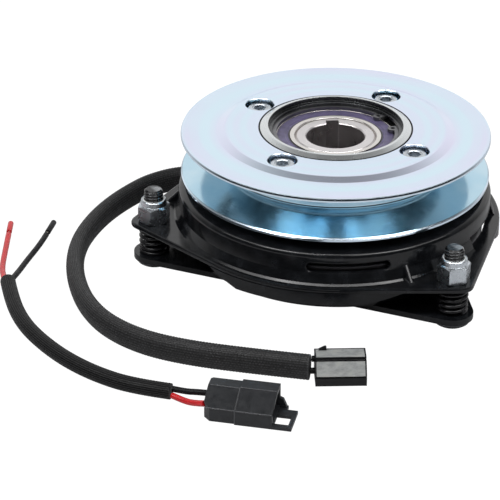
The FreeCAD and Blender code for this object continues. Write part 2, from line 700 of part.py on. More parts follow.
def make_bearing_carrier():
    """Steel sleeve that holds the pulley bearing; its bevelled lip stands round the pulley's mouth."""
    shelf = D["pulley_bearing_bottom"]
    seat = shelf + D["bearing_width"]
    lip = D["web_top"] + D["lip_rise"]
    carrier = turned("bearing_carrier", [
        (28.5, shelf - 3.6), (D["carrier_radius"] - 0.6, shelf - 3.6), (D["carrier_radius"], shelf - 3.0),
        (D["carrier_radius"], D["web_top"]), (D["mouth_radius"] + 0.5, lip), (D["mouth_radius"], lip - 0.4),
        (D["mouth_radius"], 68.3), (D["bearing_outer_radius"], 68.3),
        (D["bearing_outer_radius"], seat + 1.95),
        (32.6, seat + 1.95), (32.6, seat + 0.02), (D["bearing_outer_radius"], seat + 0.02),
        (D["bearing_outer_radius"], shelf), (28.5, shelf)])
    node(carrier, "bearing_carrier")
    make_snap_ring(seat + 0.05)


def make_snap_ring(bottom):
    """Internal retaining ring with a gap and two drilled lugs."""
    band = ring("snap_band", 29.0, 32.4, bottom, bottom + 1.75)
    lugs = []
    lug_holes = []
    for turn in (8.0, 40.0):
        x, y = polar(28.6, turn)
        lugs.append(cylinder("snap_lug_%d" % turn, 2.6, 1.75, x, y, bottom))
        lug_holes.append(cylinder("snap_hole_%d" % turn, 1.0, 4, x, y, bottom - 1))
    gap = bind(doc.addObject("Part::Cylinder", "snap_gap"), Radius=40, Height=6, Angle=23)
    move(gap, z=bottom - 2, yaw=12.5)
    node(cut("snap_ring", fuse("snap_blank", band, *lugs), gap, *lug_holes), "snap_ring")


# ---------------------------------------------------------------- lead and adapter harness

# Routes are in the part's frame, as the two harnesses lie beside the clutch on the same surface.
LEAD_EXIT_ANGLE = 135.0
LEAD_EXIT_HEIGHT = 11.0
LEAD_ROUTE = [
    (-49.5, 49.5, 11.0), (-61.4, 61.4, 10.6), (-78.2, 65.0, 9.4), (-94.9, 58.6, 7.8), (-106.7, 45.6, 6.8),
    (-115.6, 31.2, 6.6), (-122.6, 14.5, 6.6), (-127.6, -4.8, 6.6), (-128.7, -25.8, 6.6), (-126.0, -46.8, 6.6),
    (-120.0, -68.2, 6.6), (-109.6, -87.2, 6.6), (-92.8, -102.6, 6.6), (-71.9, -112.2, 6.6),
    (-43.0, -119.6, 6.6), (-14.4, -125.4, 6.6),
]
ADAPTER_ROUTE = [
    (-77.5, -142.6, 3.9), (-95.0, -138.0, 3.9), (-112.0, -127.8, 3.9), (-126.6, -114.6, 3.9),
    (-138.9, -98.9, 3.9), (-149.0, -81.8, 3.9), (-156.4, -60.2, 3.9), (-160.4, -39.2, 3.9),
]
BLACK_FRONT_ROUTE = [(-76.6, -142.0, 4.9), (-70.5, -144.4, 4.9), (-65.5, -145.8, 5.6), (-60.0, -148.0, 6.3)]
RED_FRONT_ROUTE = [(-77.0, -144.2, 2.8), (-71.6, -147.8, 2.2), (-67.0, -151.6, 3.2), (-62.0, -156.4, 6.0)]
BLACK_TAIL_ROUTE = [
    (-158.7, -38.1, 4.1), (-156.8, -29.0, 2.5), (-153.0, -13.0, 1.7), (-147.8, 4.5, 1.5), (-145.7, 14.5, 1.5),
]
RED_TAIL_ROUTE = [
    (-161.9, -38.9, 3.9), (-163.4, -31.5, 2.7), (-165.0, -21.0, 1.7), (-165.0, -3.0, 1.5),
    (-164.9, 14.5, 1.5),
]
LEAD_PLUG = (-12.1, -124.0, 0.0, 2.0)
# Where the two wires leave the lead's sleeve, in the plug's own frame.
LEAD_WIRE_SPOTS = [(-2.2, -2.1, 5.2), (-1.4, 1.2, 9.6)]
ADAPTER_PLUG = (-61.0, -152.3, 0.0, -12.5)


def cord_path(name, route):
    """Straight runs joined by tangent arcs as large as the runs allow; prints the arc radii."""
    points = [V(*point) for point in route]
    edges = []
    start = points[0]
    radii = []
    for index in range(1, len(points) - 1):
        before = points[index] - points[index - 1]
        after = points[index + 1] - points[index]
        turn = before.getAngle(after)
        shorter = min(before.Length, after.Length)
        reach = 0.45 * shorter
        radii.append(reach / math.tan(turn / 2))
        first = points[index] - before.normalize() * reach
        last = points[index] + after.normalize() * reach
        bulge = (first + last) / 2 - points[index]
        middle = points[index] + bulge.normalize() * (math.hypot(radii[-1], reach) - radii[-1])
        edges.append(Part.LineSegment(start, first).toShape())
        edges.append(Part.Arc(first, middle, last).toShape())
        start = last
    edges.append(Part.LineSegment(start, points[-1]).toShape())
    wire = Part.Wire(edges)
    print("%s: length %.1f mm, arc radii %s" % (name, wire.Length,
                                                " ".join("%.0f" % radius for radius in radii)))
    return wire


def make_cord(name, route, half_width, half_height=None):
    """A solid cord along a route, round or upright oval, compared with its section times its length."""
    half_height = half_height or half_width
    path = cord_path(name, route)
    direction = path.Edges[0].tangentAt(path.Edges[0].FirstParameter)
    section = upright_oval(path.Edges[0].Vertexes[0].Point, direction, half_width.value, half_height.value)
    pipe = Part.BRepOffsetAPI.MakePipeShell(path)
    if half_height is half_width:
        pipe.setFrenetMode(True)
    else:
        pipe.setBiNormalMode(V(0, 0, 1))
    pipe.add(section)
    pipe.build()
    pipe.makeSolid()
    solid = pipe.shape()
    expected = math.pi * half_width.value * half_height.value * path.Length
    if abs(solid.Volume / expected - 1) > 0.01:
        raise ValueError("%s: volume %.1f, expected %.1f" % (name, solid.Volume, expected))
    made = doc.addObject("Part::Feature", name)
    made.Shape = solid
    return node(made, name)


def upright_oval(centre, direction, half_width, half_height):
    """Closed wire of an oval across a direction, its longer half upright; a circle when both are equal."""
    if half_height - half_width < 1e-6:
        return Part.Wire([Part.makeCircle(half_width, centre, direction)])
    edge = Part.Ellipse(V(0, 0, 0), half_height, half_width).toShape()
    edge.Placement = FreeCAD.Placement(centre, FreeCAD.Rotation(V(0, 0, 1), V(0, 0, 0), direction, "ZXY"))
    return Part.Wire([edge])


def along(route):
    """End point and unit direction of a route's last run."""
    last = V(*route[-1])
    return last, (last - V(*route[-2])).normalize()


def rod(name, start, direction, radius, length):
    """A straight round rod from a point along a direction."""
    made = bind(doc.addObject("Part::Cylinder", name), Radius=radius, Height=length)
    made.Placement = FreeCAD.Placement(start, FreeCAD.Rotation(V(0, 0, 1), direction))
    return made


def make_lead():
    """Rubber grommet, sleeved lead and the two wires that run from the sleeve into the plug."""
    towards = (V(*LEAD_ROUTE[1]) - V(*LEAD_ROUTE[0])).normalize()
    x, y = polar(62.5, LEAD_EXIT_ANGLE)
    grommet = turned("grommet_turned", [
        (0.001, 0), (3.55, 0), (3.55, 7.05), (7.3, 7.05), (7.3, 10.5), (7.0, 14.0), (0.001, 14.0)])
    move(grommet, x, y, size(LEAD_EXIT_HEIGHT), yaw=LEAD_EXIT_ANGLE, pitch=90)
    oval = bind(doc.addObject("Part::Ellipse", "grommet_oval"), MajorRadius=D["lead_half_height"] + 0.02,
                MinorRadius=D["lead_half_width"] + 0.02)
    oval.Placement = FreeCAD.Placement(V(*LEAD_ROUTE[0]),
                                       FreeCAD.Rotation(V(0, 0, 1), V(0, 0, 0), towards, "ZXY"))
    socket = doc.addObject("Part::Extrusion", "grommet_socket")
    socket.Base = oval
    socket.DirMode = "Normal"
    socket.LengthFwd = 30
    socket.Solid = True
    node(cut("lead_grommet", grommet, socket), "lead_grommet")
    make_cord("lead_sleeve", LEAD_ROUTE, D["lead_half_width"], D["lead_half_height"])
    wires = [cylinder("lead_wire_%d" % side, D["wire_radius"], 6, *spot, pitch=90)
             for side, spot in enumerate(LEAD_WIRE_SPOTS)]
    node(place_plug(group("lead_wires", wires), LEAD_PLUG), "lead_wires")


def place_plug(part, spot):
    """Turn a plug modelled along +X to its heading and stand it on its spot."""
    x, y, z, heading = spot
    return move(part, x, y, z, yaw=heading)


def make_lead_plug():
    """Two-way plug on the clutch's own lead: housing, lock ramp and terminals."""
    housing = plug_section("plug_blank", -7.6, 6.3, 4.9, -2.1, 12.0, 0.0, 23.6)
    tools = [
        block("plug_ridge_groove", 40, 1.5, 3.0, 12, -2.5, 10.6),
        block("plug_lower_groove", 40, 1.6, 0.9, 12, -7.9, 4.1),
        block("plug_far_groove", 40, 1.4, 1.3, 12, 6.3, 9.6),
    ]
    for side in (-1, 1):
        tools.append(block("plug_cavity_%d" % side, 16, 3.6, 6.0, 17.0, 2.5 * side + 0.2, 2.4))
    for side, (start, across, height) in enumerate(LEAD_WIRE_SPOTS):
        tools.append(cylinder("plug_entry_%d" % side, D["wire_radius"] + 0.15, 8, -1, across, height,
                              pitch=90))
    housing = cut("plug_housing_cut", housing, *tools)
    ramp = pressed("plug_ramp", [(1.5, 11.9), (5.6, 11.9), (5.6, 13.6), (4.6, 13.6)], -6.2, 1.8)
    move(ramp, roll=90)
    whole = fuse("plug_housing", housing, ramp)
    node(place_plug(whole, LEAD_PLUG), "lead_plug")
    blades = []
    for side in (-1, 1):
        blades.append(block("plug_blade_%d" % side, 12.0, 0.9, 4.4, 15.5, 2.5 * side + 0.2, 3.2))
    node(place_plug(group("plug_terminals", blades), LEAD_PLUG), "lead_plug_terminals")


def plug_section(name, near, far, shoulder, roof, height, start, length):
    """A stretch of the adapter plug: one side slopes from a shoulder up to the roof."""
    section = [(near, 0), (near, shoulder), (roof, height), (far, height), (far, 0)]
    return move(pressed(name, section, start, length), roll=90, yaw=90)


def make_adapter_plug():
    """Mating housing of the adapter harness: shroud with a floor tongue that has a latch window."""
    rear = plug_section("adapter_rear", -8.75, 9.0, 6.7, 2.4, 12.1, 0.0, 15.0)
    shroud = plug_section("adapter_shroud", -9.5, 9.5, 7.0, 2.2, 12.7, 14.6, 17.2)
    tongue = block("adapter_tongue", 9.5, 15.5, 1.6, 35.8, -1.75, 0)
    tongue_root = block("adapter_tongue_root", 4.4, 19.0, 1.6, 33.4, 0, 0)
    tooth = pressed("adapter_tooth", [(31.6, 1.5), (35.2, 1.5), (33.4, 5.6), (31.6, 6.4)], -9.4, 2.2)
    blank = fuse("adapter_blank", rear, shroud, tongue, tongue_root, move(tooth, roll=90))
    tools = [
        plug_section("adapter_room", -7.3, 7.6, 6.2, 2.4, 10.8, 18.4, 20.0),
        block("adapter_window", 6.6, 7.6, 6, 35.4, -3.0, -1),
        block("adapter_rear_near", 5.6, 5.6, 30, -0.4, -9.2, -2, yaw=45),
        block("adapter_rear_far", 3.0, 3.0, 30, -0.4, 9.8, -2, yaw=45),
    ]
    tools[0] = cut("adapter_room_shape", tools[0], block("adapter_floor", 60, 30, 2.5, 20, 0, 0))
    for side in (-1, 1):
        tools.append(cylinder("adapter_entry_%d" % side, D["wire_radius"] + 0.4, 20, -1, size(4.4 * side),
                              size(6.3), pitch=90))
    housing = cut("adapter_housing", blank, *tools)
    node(place_plug(housing, ADAPTER_PLUG), "adapter_plug")
    sockets = [block("adapter_socket_%d" % side, 7.0, 3.0, 3.4, 22.4, 4.2 * side, 3.0) for side in (-1, 1)]
    node(place_plug(group("adapter_terminals", sockets), ADAPTER_PLUG), "adapter_plug_terminals")


def make_adapter():
    """Adapter harness: sleeve, front wires to its plug, and bare tails that end in cut insulation."""
    make_cord("adapter_sleeve", ADAPTER_ROUTE, D["adapter_radius"])
    make_cord("adapter_wire_black", BLACK_FRONT_ROUTE, D["wire_radius"])
    make_cord("adapter_wire_red", RED_FRONT_ROUTE, D["wire_radius"])
    make_cord("adapter_tail_black", BLACK_TAIL_ROUTE, D["wire_radius"])
    make_cord("adapter_tail_red", RED_TAIL_ROUTE, D["wire_radius"])
    strands = []
    for colour, route, length in (("black", BLACK_TAIL_ROUTE, 11.5), ("red", RED_TAIL_ROUTE, 10.0)):
        end, direction = along(route)
        strands.append(rod("strand_" + colour, end, direction, D["wire_radius"] - 0.75, 2.4))
        slug = rod("slug_" + colour, end + direction * 2.4, direction, D["wire_radius"], length)
        node(slug, "adapter_slug_" + colour)
    node(group("adapter_strands", strands), "adapter_strands")
    make_adapter_plug()


def make_parts():
    make_mounting_plate()
    make_stud_bolts()
    make_field_shell()
    make_coil()
    make_bearing("field_bearing", D["field_bearing_bottom"])
    make_hub()
    make_rotor()
    make_armature()
    make_leaf_springs()
    make_brake_plate()
    make_nuts()
    make_springs()
    make_bearing("pulley_bearing", D["pulley_bearing_bottom"])
    make_pulley()
    make_bearing_carrier()
    make_lead()
    make_lead_plug()
    make_adapter()


def check_and_write():
    """Stop on any failed object, then write each sub-part's shape."""
    doc.recompute()
    for obj in doc.Objects:
        if "Invalid" in obj.State or "Error" in obj.State:
            raise ValueError("%s is %s" % (obj.Label, obj.State))
    os.makedirs("parts", exist_ok=True)
    for obj in nodes:
        if obj.Shape.isNull() or not obj.Shape.isValid():
            raise ValueError(obj.Label + " has no valid shape")
        obj.Shape.exportStep("parts/%s.step" % obj.Label)
        box = obj.Shape.BoundBox
        print("%-24s solids %2d  volume %10.1f  z %6.2f to %6.2f" % (
            obj.Label, len(obj.Shape.Solids), obj.Shape.Volume, box.ZMin, box.ZMax))


make_parts()
check_and_write()
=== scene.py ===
"""Looks of the electric PTO clutch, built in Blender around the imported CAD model.

Profiles are in millimetres and routes in metres, in the part's own frame: +Z along the bore, Z = 0 at the
bolt heads.
"""
import json
import math

import bmesh
import bpy
from mathutils import Euler, Matrix, Vector
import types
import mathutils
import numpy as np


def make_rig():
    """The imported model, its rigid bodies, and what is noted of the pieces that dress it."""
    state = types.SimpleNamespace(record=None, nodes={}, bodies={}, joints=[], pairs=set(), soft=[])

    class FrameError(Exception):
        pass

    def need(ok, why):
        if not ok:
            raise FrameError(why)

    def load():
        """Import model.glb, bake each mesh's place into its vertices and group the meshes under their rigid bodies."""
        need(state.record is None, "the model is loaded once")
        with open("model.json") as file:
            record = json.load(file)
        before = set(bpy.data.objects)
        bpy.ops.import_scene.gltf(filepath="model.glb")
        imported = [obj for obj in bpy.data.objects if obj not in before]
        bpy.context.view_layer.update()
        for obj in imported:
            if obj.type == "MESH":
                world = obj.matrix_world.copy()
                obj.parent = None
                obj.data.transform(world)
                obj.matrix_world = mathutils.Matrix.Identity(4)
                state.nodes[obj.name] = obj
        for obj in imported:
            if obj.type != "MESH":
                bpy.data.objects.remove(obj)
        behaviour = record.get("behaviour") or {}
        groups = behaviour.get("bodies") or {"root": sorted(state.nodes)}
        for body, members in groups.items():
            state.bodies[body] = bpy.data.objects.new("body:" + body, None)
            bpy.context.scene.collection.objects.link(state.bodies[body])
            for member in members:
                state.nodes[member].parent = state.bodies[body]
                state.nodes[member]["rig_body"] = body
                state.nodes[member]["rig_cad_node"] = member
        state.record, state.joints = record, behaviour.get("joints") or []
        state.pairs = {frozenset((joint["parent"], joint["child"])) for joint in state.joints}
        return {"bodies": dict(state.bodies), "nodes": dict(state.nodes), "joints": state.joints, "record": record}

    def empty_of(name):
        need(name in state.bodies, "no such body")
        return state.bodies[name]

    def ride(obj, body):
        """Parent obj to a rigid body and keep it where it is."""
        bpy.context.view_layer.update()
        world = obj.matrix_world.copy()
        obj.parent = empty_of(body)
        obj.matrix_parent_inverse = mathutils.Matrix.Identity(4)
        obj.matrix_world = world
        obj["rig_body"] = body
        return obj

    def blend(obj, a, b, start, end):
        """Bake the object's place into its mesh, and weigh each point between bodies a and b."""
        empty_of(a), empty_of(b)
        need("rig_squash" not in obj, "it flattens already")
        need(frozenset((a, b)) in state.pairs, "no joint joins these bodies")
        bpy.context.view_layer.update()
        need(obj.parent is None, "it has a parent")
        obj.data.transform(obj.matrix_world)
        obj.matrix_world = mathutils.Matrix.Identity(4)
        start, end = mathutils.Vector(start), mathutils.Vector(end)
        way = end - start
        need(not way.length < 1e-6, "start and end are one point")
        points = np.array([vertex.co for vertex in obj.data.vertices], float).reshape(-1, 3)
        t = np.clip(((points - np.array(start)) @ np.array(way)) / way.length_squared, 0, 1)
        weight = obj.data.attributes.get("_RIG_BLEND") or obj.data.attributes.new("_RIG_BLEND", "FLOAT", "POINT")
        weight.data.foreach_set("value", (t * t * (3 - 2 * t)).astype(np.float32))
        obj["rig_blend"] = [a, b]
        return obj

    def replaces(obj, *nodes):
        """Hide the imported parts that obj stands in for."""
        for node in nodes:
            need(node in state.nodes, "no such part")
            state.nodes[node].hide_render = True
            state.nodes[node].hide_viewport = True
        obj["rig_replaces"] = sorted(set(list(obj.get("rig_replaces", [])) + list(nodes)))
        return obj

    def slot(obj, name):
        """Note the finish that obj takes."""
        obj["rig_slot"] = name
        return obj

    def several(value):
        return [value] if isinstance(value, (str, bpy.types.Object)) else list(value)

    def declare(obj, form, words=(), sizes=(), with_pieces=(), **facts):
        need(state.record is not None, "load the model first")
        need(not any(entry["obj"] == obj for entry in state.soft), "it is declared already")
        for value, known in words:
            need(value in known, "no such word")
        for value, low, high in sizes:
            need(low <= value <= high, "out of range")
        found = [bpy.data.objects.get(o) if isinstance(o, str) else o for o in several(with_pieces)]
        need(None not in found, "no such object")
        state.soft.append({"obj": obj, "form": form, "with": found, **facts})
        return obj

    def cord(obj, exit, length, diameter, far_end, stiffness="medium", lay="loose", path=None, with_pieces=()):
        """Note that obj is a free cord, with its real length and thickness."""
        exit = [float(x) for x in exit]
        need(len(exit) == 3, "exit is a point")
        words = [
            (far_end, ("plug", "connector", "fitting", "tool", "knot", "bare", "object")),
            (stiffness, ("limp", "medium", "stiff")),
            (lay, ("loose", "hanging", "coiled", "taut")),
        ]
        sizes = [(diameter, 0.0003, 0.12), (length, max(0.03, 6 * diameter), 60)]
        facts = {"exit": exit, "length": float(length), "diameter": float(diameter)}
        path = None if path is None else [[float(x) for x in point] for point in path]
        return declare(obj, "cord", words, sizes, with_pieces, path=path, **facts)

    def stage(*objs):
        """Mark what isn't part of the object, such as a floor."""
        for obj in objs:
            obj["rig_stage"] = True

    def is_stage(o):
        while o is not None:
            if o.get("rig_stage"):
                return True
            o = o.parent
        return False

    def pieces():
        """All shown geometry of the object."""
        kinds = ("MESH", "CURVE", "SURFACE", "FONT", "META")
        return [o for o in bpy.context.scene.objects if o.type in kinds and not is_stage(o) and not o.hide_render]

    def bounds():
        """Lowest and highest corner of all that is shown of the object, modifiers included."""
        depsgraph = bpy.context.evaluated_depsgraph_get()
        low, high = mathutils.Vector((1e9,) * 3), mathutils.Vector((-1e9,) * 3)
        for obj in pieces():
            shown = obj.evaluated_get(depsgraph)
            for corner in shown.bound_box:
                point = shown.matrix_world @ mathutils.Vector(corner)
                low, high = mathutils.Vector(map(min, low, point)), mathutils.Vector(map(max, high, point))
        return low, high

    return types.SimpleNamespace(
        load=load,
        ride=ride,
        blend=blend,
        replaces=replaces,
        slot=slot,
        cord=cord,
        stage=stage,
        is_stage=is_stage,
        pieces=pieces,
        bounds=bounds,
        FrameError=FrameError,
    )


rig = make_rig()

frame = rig.load()
cad_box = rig.bounds()

MM = 0.001
TAU = 2 * math.pi
SCENE = bpy.context.scene

# Studs, nuts and springs: the bolt circle's radius, each ear's bearing and the turn of its nut's flats.
STUD_CIRCLE = 90.2
STUD_ANGLES = {"left": 187.2, "right": 307.2, "rear": 67.2}
STUD_RADIUS = 4.76
STUD_TOP = 40.7
THREAD_START = 15.0
THREAD_PITCH = 1.5875
THREAD_DEPTH = 0.72
NUT_TURN = {"left": 79.3, "right": 11.7, "rear": 25.0}
NUT_SEAT = 23.7
NUT_HEIGHT = 11.9
NUT_FLATS = 14.29
COIL_RADIUS = 6.65
COIL_WIRE = 0.95

# Pulley: rims, the belt groove's root and the mouth that holds the carrier.
PULLEY_RADIUS = 76.2
PULLEY_TOP = 67.7
PULLEY_BOTTOM = 45.2
PULLEY_MIDDLE = (PULLEY_TOP + PULLEY_BOTTOM) / 2
GROOVE_ROOT = 57.0
CARRIER_RADIUS = 37.45
SCREW_CIRCLE = 45.7
SCREW_START = 54.5
SCREW_COUNT = 4

# Hub and bearings.
BORE_RADIUS = 14.2875
HUB_RADIUS = 20.0
KEY_WIDTH = 6.35
KEY_DEPTH = 3.2
KEY_YAW = 4.0
BEARING_HEIGHT = 12.0
BEARING_RADIUS = 31.0
PULLEY_BEARING = 53.1
FIELD_BEARING = 8.0

# Edges that meet at less than this many degrees are shaded as one smooth surface.
SMOOTH_ANGLE = 32.0

# The lead plug's heading in degrees, and where the groove along its ridge lies across that heading.
LEAD_PLUG_HEADING = 2.0
LEAD_PLUG_GROOVE = -126.1


# ---------------------------------------------------------------- materials


class Shader:
    """A node material with a Principled shader, and short ways to add procedural detail to it."""

    def __init__(self, name, color, metallic=0.0, roughness=0.5, **sockets):
        self.material = bpy.data.materials.new(name)
        self.material.use_nodes = True
        self.tree = self.material.node_tree
        self.shader = self.tree.nodes["Principled BSDF"]
        self.set("Base Color", (*color, 1.0))
        self.set("Metallic", metallic)
        self.set("Roughness", roughness)
        for socket, value in sockets.items():
            self.set(socket.replace("_", " "), value)
        self.place = self.tree.nodes.new("ShaderNodeTexCoord").outputs["Object"]
        self.height = None

    def set(self, socket, value):
        self.shader.inputs[socket].default_value = value

    def node(self, kind, **inputs):
        made = self.tree.nodes.new("ShaderNode" + kind)
        for key, value in inputs.items():
            self.feed(made.inputs[key.replace("_", " ")], value)
        return made

    def feed(self, socket, value):
        if isinstance(value, bpy.types.NodeSocket):
            self.tree.links.new(value, socket)
        else:
            socket.default_value = value

    def math(self, operation, first, second=0.0, third=0.0):
        made = self.tree.nodes.new("ShaderNodeMath")
        made.operation = operation
        for socket, value in zip(made.inputs, (first, second, third)):
            self.feed(socket, value)
        return made.outputs[0]

    def stretched(self, scale):
        """The object's coordinates, stretched."""
        return self.node("Mapping", Vector=self.place, Scale=scale).outputs[0]

    def noise(self, scale, detail=4.0, rough=0.5, stretch=None):
        source = self.stretched(stretch) if stretch else self.place
        made = self.node("TexNoise", Vector=source, Scale=scale, Detail=detail, Roughness=rough)
        return made.outputs["Fac"]

    def radius(self):
        """Distance from the bore axis, in millimetres."""
        parts = self.node("SeparateXYZ", Vector=self.place).outputs
        square = self.math("MULTIPLY_ADD", parts[0], parts[0], self.math("MULTIPLY", parts[1], parts[1]))
        return self.math("MULTIPLY", self.math("SQRT", square), 1 / MM)

    def rings(self, scale, detail=5.0):
        """Noise that varies with the distance from the bore axis only, as turning marks do."""
        flat = self.node("CombineXYZ", X=self.radius()).outputs[0]
        return self.node("TexNoise", Vector=flat, Scale=scale, Detail=detail, Roughness=0.7).outputs["Fac"]

    def ramp(self, factor, *stops):
        made = self.node("ValToRGB", Fac=factor)
        elements = made.color_ramp.elements
        while len(elements) < len(stops):
            elements.new(0.5)
        for element, (place, color) in zip(elements, stops):
            element.position = place
            element.color = (*color, 1.0) if len(color) == 3 else color
        return made.outputs["Color"]

    def spread(self, factor, low, high, start=0.3, stop=0.7):
        """A factor turned into a number between two values."""
        made = self.node("MapRange", Value=factor)
        for socket, value in zip(("From Min", "From Max", "To Min", "To Max"), (start, stop, low, high)):
            made.inputs[socket].default_value = value
        return made.outputs[0]

    def mix(self, factor, first, second):
        made = self.tree.nodes.new("ShaderNodeMix")
        made.data_type = "RGBA"
        self.feed(made.inputs["Factor"], factor)
        colors = [socket for socket in made.inputs if socket.type == "RGBA"]
        for socket, value in zip(colors, (first, second)):
            self.feed(socket, value if isinstance(value, bpy.types.NodeSocket) else (*value, 1.0))
        return [socket for socket in made.outputs if socket.type == "RGBA"][0]

    def color(self, value):
        self.feed(self.shader.inputs["Base Color"], value)
        return self

    def rough(self, value):
        self.feed(self.shader.inputs["Roughness"], value)
        return self

    def bump(self, height, depth_mm, strength=1.0):
        """Relief of a depth in millimetres; several calls add up."""
        made = self.node("Bump", Height=height, Strength=strength, Distance=depth_mm * MM)
        if self.height is not None:
            self.tree.links.new(self.height, made.inputs["Normal"])
        self.height = made.outputs["Normal"]
        self.feed(self.shader.inputs["Normal"], self.height)
        return self


def pulley_plating():
    """Bright zinc with a cool cast, faint violet bands and fine turning rings, and painted shade in the gap round the
    carrier.
    """
    m = Shader("pulley_plating", (0.70, 0.83, 0.93), 1.0, 0.24)
    bands = m.node("CombineXYZ", X=m.radius()).outputs[0]
    bands = m.node("TexNoise", Vector=bands, Scale=0.10, Detail=1.0).outputs["Fac"]
    drift = m.noise(14.0, 2.0)
    tint = m.math("MULTIPLY", m.spread(bands, 0.0, 1.0, 0.38, 0.58), m.spread(drift, 0.3, 1.0, 0.30, 0.60))
    plated = m.mix(tint, (0.68, 0.83, 0.93), (0.74, 0.75, 0.91))
    # Faces inside 37.95 mm, the walls of the gap round the carrier, are painted near black: painted shade in the
    # joint.
    m.color(m.mix(m.spread(m.radius(), 0.0, 1.0, 37.95, 38.1), (0.03, 0.035, 0.04), plated))
    rim = m.spread(m.radius(), 1.0, 0.5, 75.5, 76.0)
    m.rough(m.math("MULTIPLY", m.spread(m.noise(60.0, 4.0), 0.225, 0.265), rim))
    return m.bump(m.rings(3.0), 0.0012).material


def groove_plating_painted_shade():
    """The same plating where the belt runs: smoother, with a darker, deeper blue base colour as painted shade in the
    groove.
    """
    # The base colour is darker than the flange's plating: painted shade in the groove.
    m = Shader("groove_plating_painted_shade", (0.50, 0.70, 0.81), 1.0, 0.17)
    m.color(m.ramp(m.noise(40.0, 3.0), (0.3, (0.44, 0.65, 0.78)), (0.7, (0.58, 0.75, 0.84))))
    m.rough(m.spread(m.noise(160.0, 4.0), 0.12, 0.20))
    return m.bump(m.rings(2.0), 0.003).material


def turned_steel(name, color, roughness, ring_depth):
    """Machined steel with turning rings about the bore axis and a little colour drift."""
    m = Shader(name, color, 1.0, roughness)
    warm = 0.02
    dark = tuple(c * (1 - warm * 3) for c in color)
    light = (color[0] * (1 + warm), color[1], color[2] * (1 - warm))
    m.color(m.ramp(m.rings(1.2), (0.3, dark), (0.7, light)))
    m.rough(m.spread(m.noise(160.0, 3.0), roughness * 0.85, roughness * 1.15))
    return m.bump(m.rings(4.0), ring_depth).material


def carrier_steel():
    """The carrier's turned steel: bright on the lip, and painted dark inside and outside it as painted shade."""
    m = Shader("carrier_steel", (0.70, 0.73, 0.74), 1.0, 0.26)
    turned = m.ramp(m.rings(1.2), (0.3, (0.66, 0.69, 0.71)), (0.7, (0.71, 0.73, 0.73)))
    # Inside 33.15 mm and outside 37.2 mm the steel is painted dark: painted shade in the cavity and in the joint with
    # the pulley.
    inside = m.spread(m.radius(), 0.0, 1.0, 33.15, 33.35)
    outside = m.spread(m.radius(), 1.0, 0.0, 37.1, 37.2)
    unshaded_lip = m.math("MULTIPLY", inside, outside)
    m.color(m.mix(unshaded_lip, (0.10, 0.103, 0.107), turned))
    m.rough(m.spread(m.noise(160.0, 3.0), 0.22, 0.30))
    return m.bump(m.rings(4.0), 0.0015).material


def cast_metal(name, color, roughness):
    """Zinc-plated or rolled metal with a fine grain and blotches."""
    m = Shader(name, color, 1.0, roughness)
    dark = tuple(c * 0.86 for c in color)
    m.color(m.ramp(m.noise(220.0, 4.0), (0.32, dark), (0.62, color)))
    m.rough(m.spread(m.noise(300.0, 4.0), roughness * 0.8, roughness * 1.3))
    return m.bump(m.noise(500.0, 4.0), 0.002).material


def enamel(name, color=(0.0045, 0.005, 0.006), roughness=0.14, peel=0.004):
    """Black enamel: slight orange peel, dust and duller patches."""
    m = Shader(name, color, 0.0, roughness, Specular_IOR_Level=0.36)
    lighter = tuple(c * 2.6 + 0.002 for c in color)
    m.color(m.ramp(m.noise(160.0, 6.0), (0.45, color), (0.8, lighter)))
    m.rough(m.spread(m.noise(70.0, 5.0), roughness * 0.8, roughness * 1.6))
    return m.bump(m.noise(420.0, 2.0), peel).material


def black_steel():
    """Black-oxide bolt whose thread crests are painted light grey as a painted highlight."""
    m = Shader("black_steel", (0.02, 0.02, 0.022), 0.3, 0.26, Specular_IOR_Level=0.25)
    # The pointed thread crests are painted grey: a painted highlight.
    painted_crest_light = m.spread(m.node("NewGeometry").outputs["Pointiness"], 0.0, 1.0, 0.53, 0.60)
    black = m.ramp(m.noise(900.0, 5.0), (0.35, (0.005, 0.005, 0.006)), (0.75, (0.018, 0.018, 0.019)))
    m.color(m.mix(painted_crest_light, black, (0.30, 0.31, 0.32)))
    return m.rough(m.spread(m.noise(600.0), 0.18, 0.32)).bump(m.noise(1500.0, 3.0), 0.006).material


def seal_rubber():
    """Dark violet moulded seal with a soft sheen, painted near black at its inner edge as painted shade."""
    m = Shader("seal_rubber", (0.10, 0.075, 0.20), 0.0, 0.42, Sheen_Weight=0.25)
    face = m.ramp(m.noise(300.0, 5.0), (0.3, (0.045, 0.034, 0.10)), (0.7, (0.10, 0.08, 0.19)))
    # Inside 23.2 mm the seal is painted near black: painted shade beside the race.
    m.color(m.mix(m.spread(m.radius(), 0.0, 1.0, 23.2, 23.5), (0.006, 0.006, 0.008), face))
    return m.rough(m.spread(m.noise(400.0), 0.34, 0.5)).bump(m.noise(1100.0, 3.0), 0.008).material


def plain_rubber(name, color):
    """Dull black rubber, or yarn painted near black as painted shade."""
    m = Shader(name, color, 0.0, 0.62)
    lighter = tuple(c * 1.9 for c in color)
    m.color(m.ramp(m.noise(300.0, 5.0), (0.3, color), (0.8, lighter)))
    return m.rough(m.spread(m.noise(500.0), 0.5, 0.72)).bump(m.noise(1400.0, 4.0), 0.02).material


def plastic(name, color, roughness, grain=0.006, scale=1100.0, drift=1.5, shine=0.5):
    """Moulded plastic with fine texture."""
    m = Shader(name, color, 0.0, roughness, Specular_IOR_Level=shine)
    other = tuple(min(1.0, c * drift + 0.001) for c in color)
    m.color(m.ramp(m.noise(220.0, 5.0), (0.3, color), (0.8, other)))
    m.rough(m.spread(m.noise(350.0, 4.0), roughness * 0.8, roughness * 1.3))
    return m.bump(m.noise(scale, 4.0), grain).material


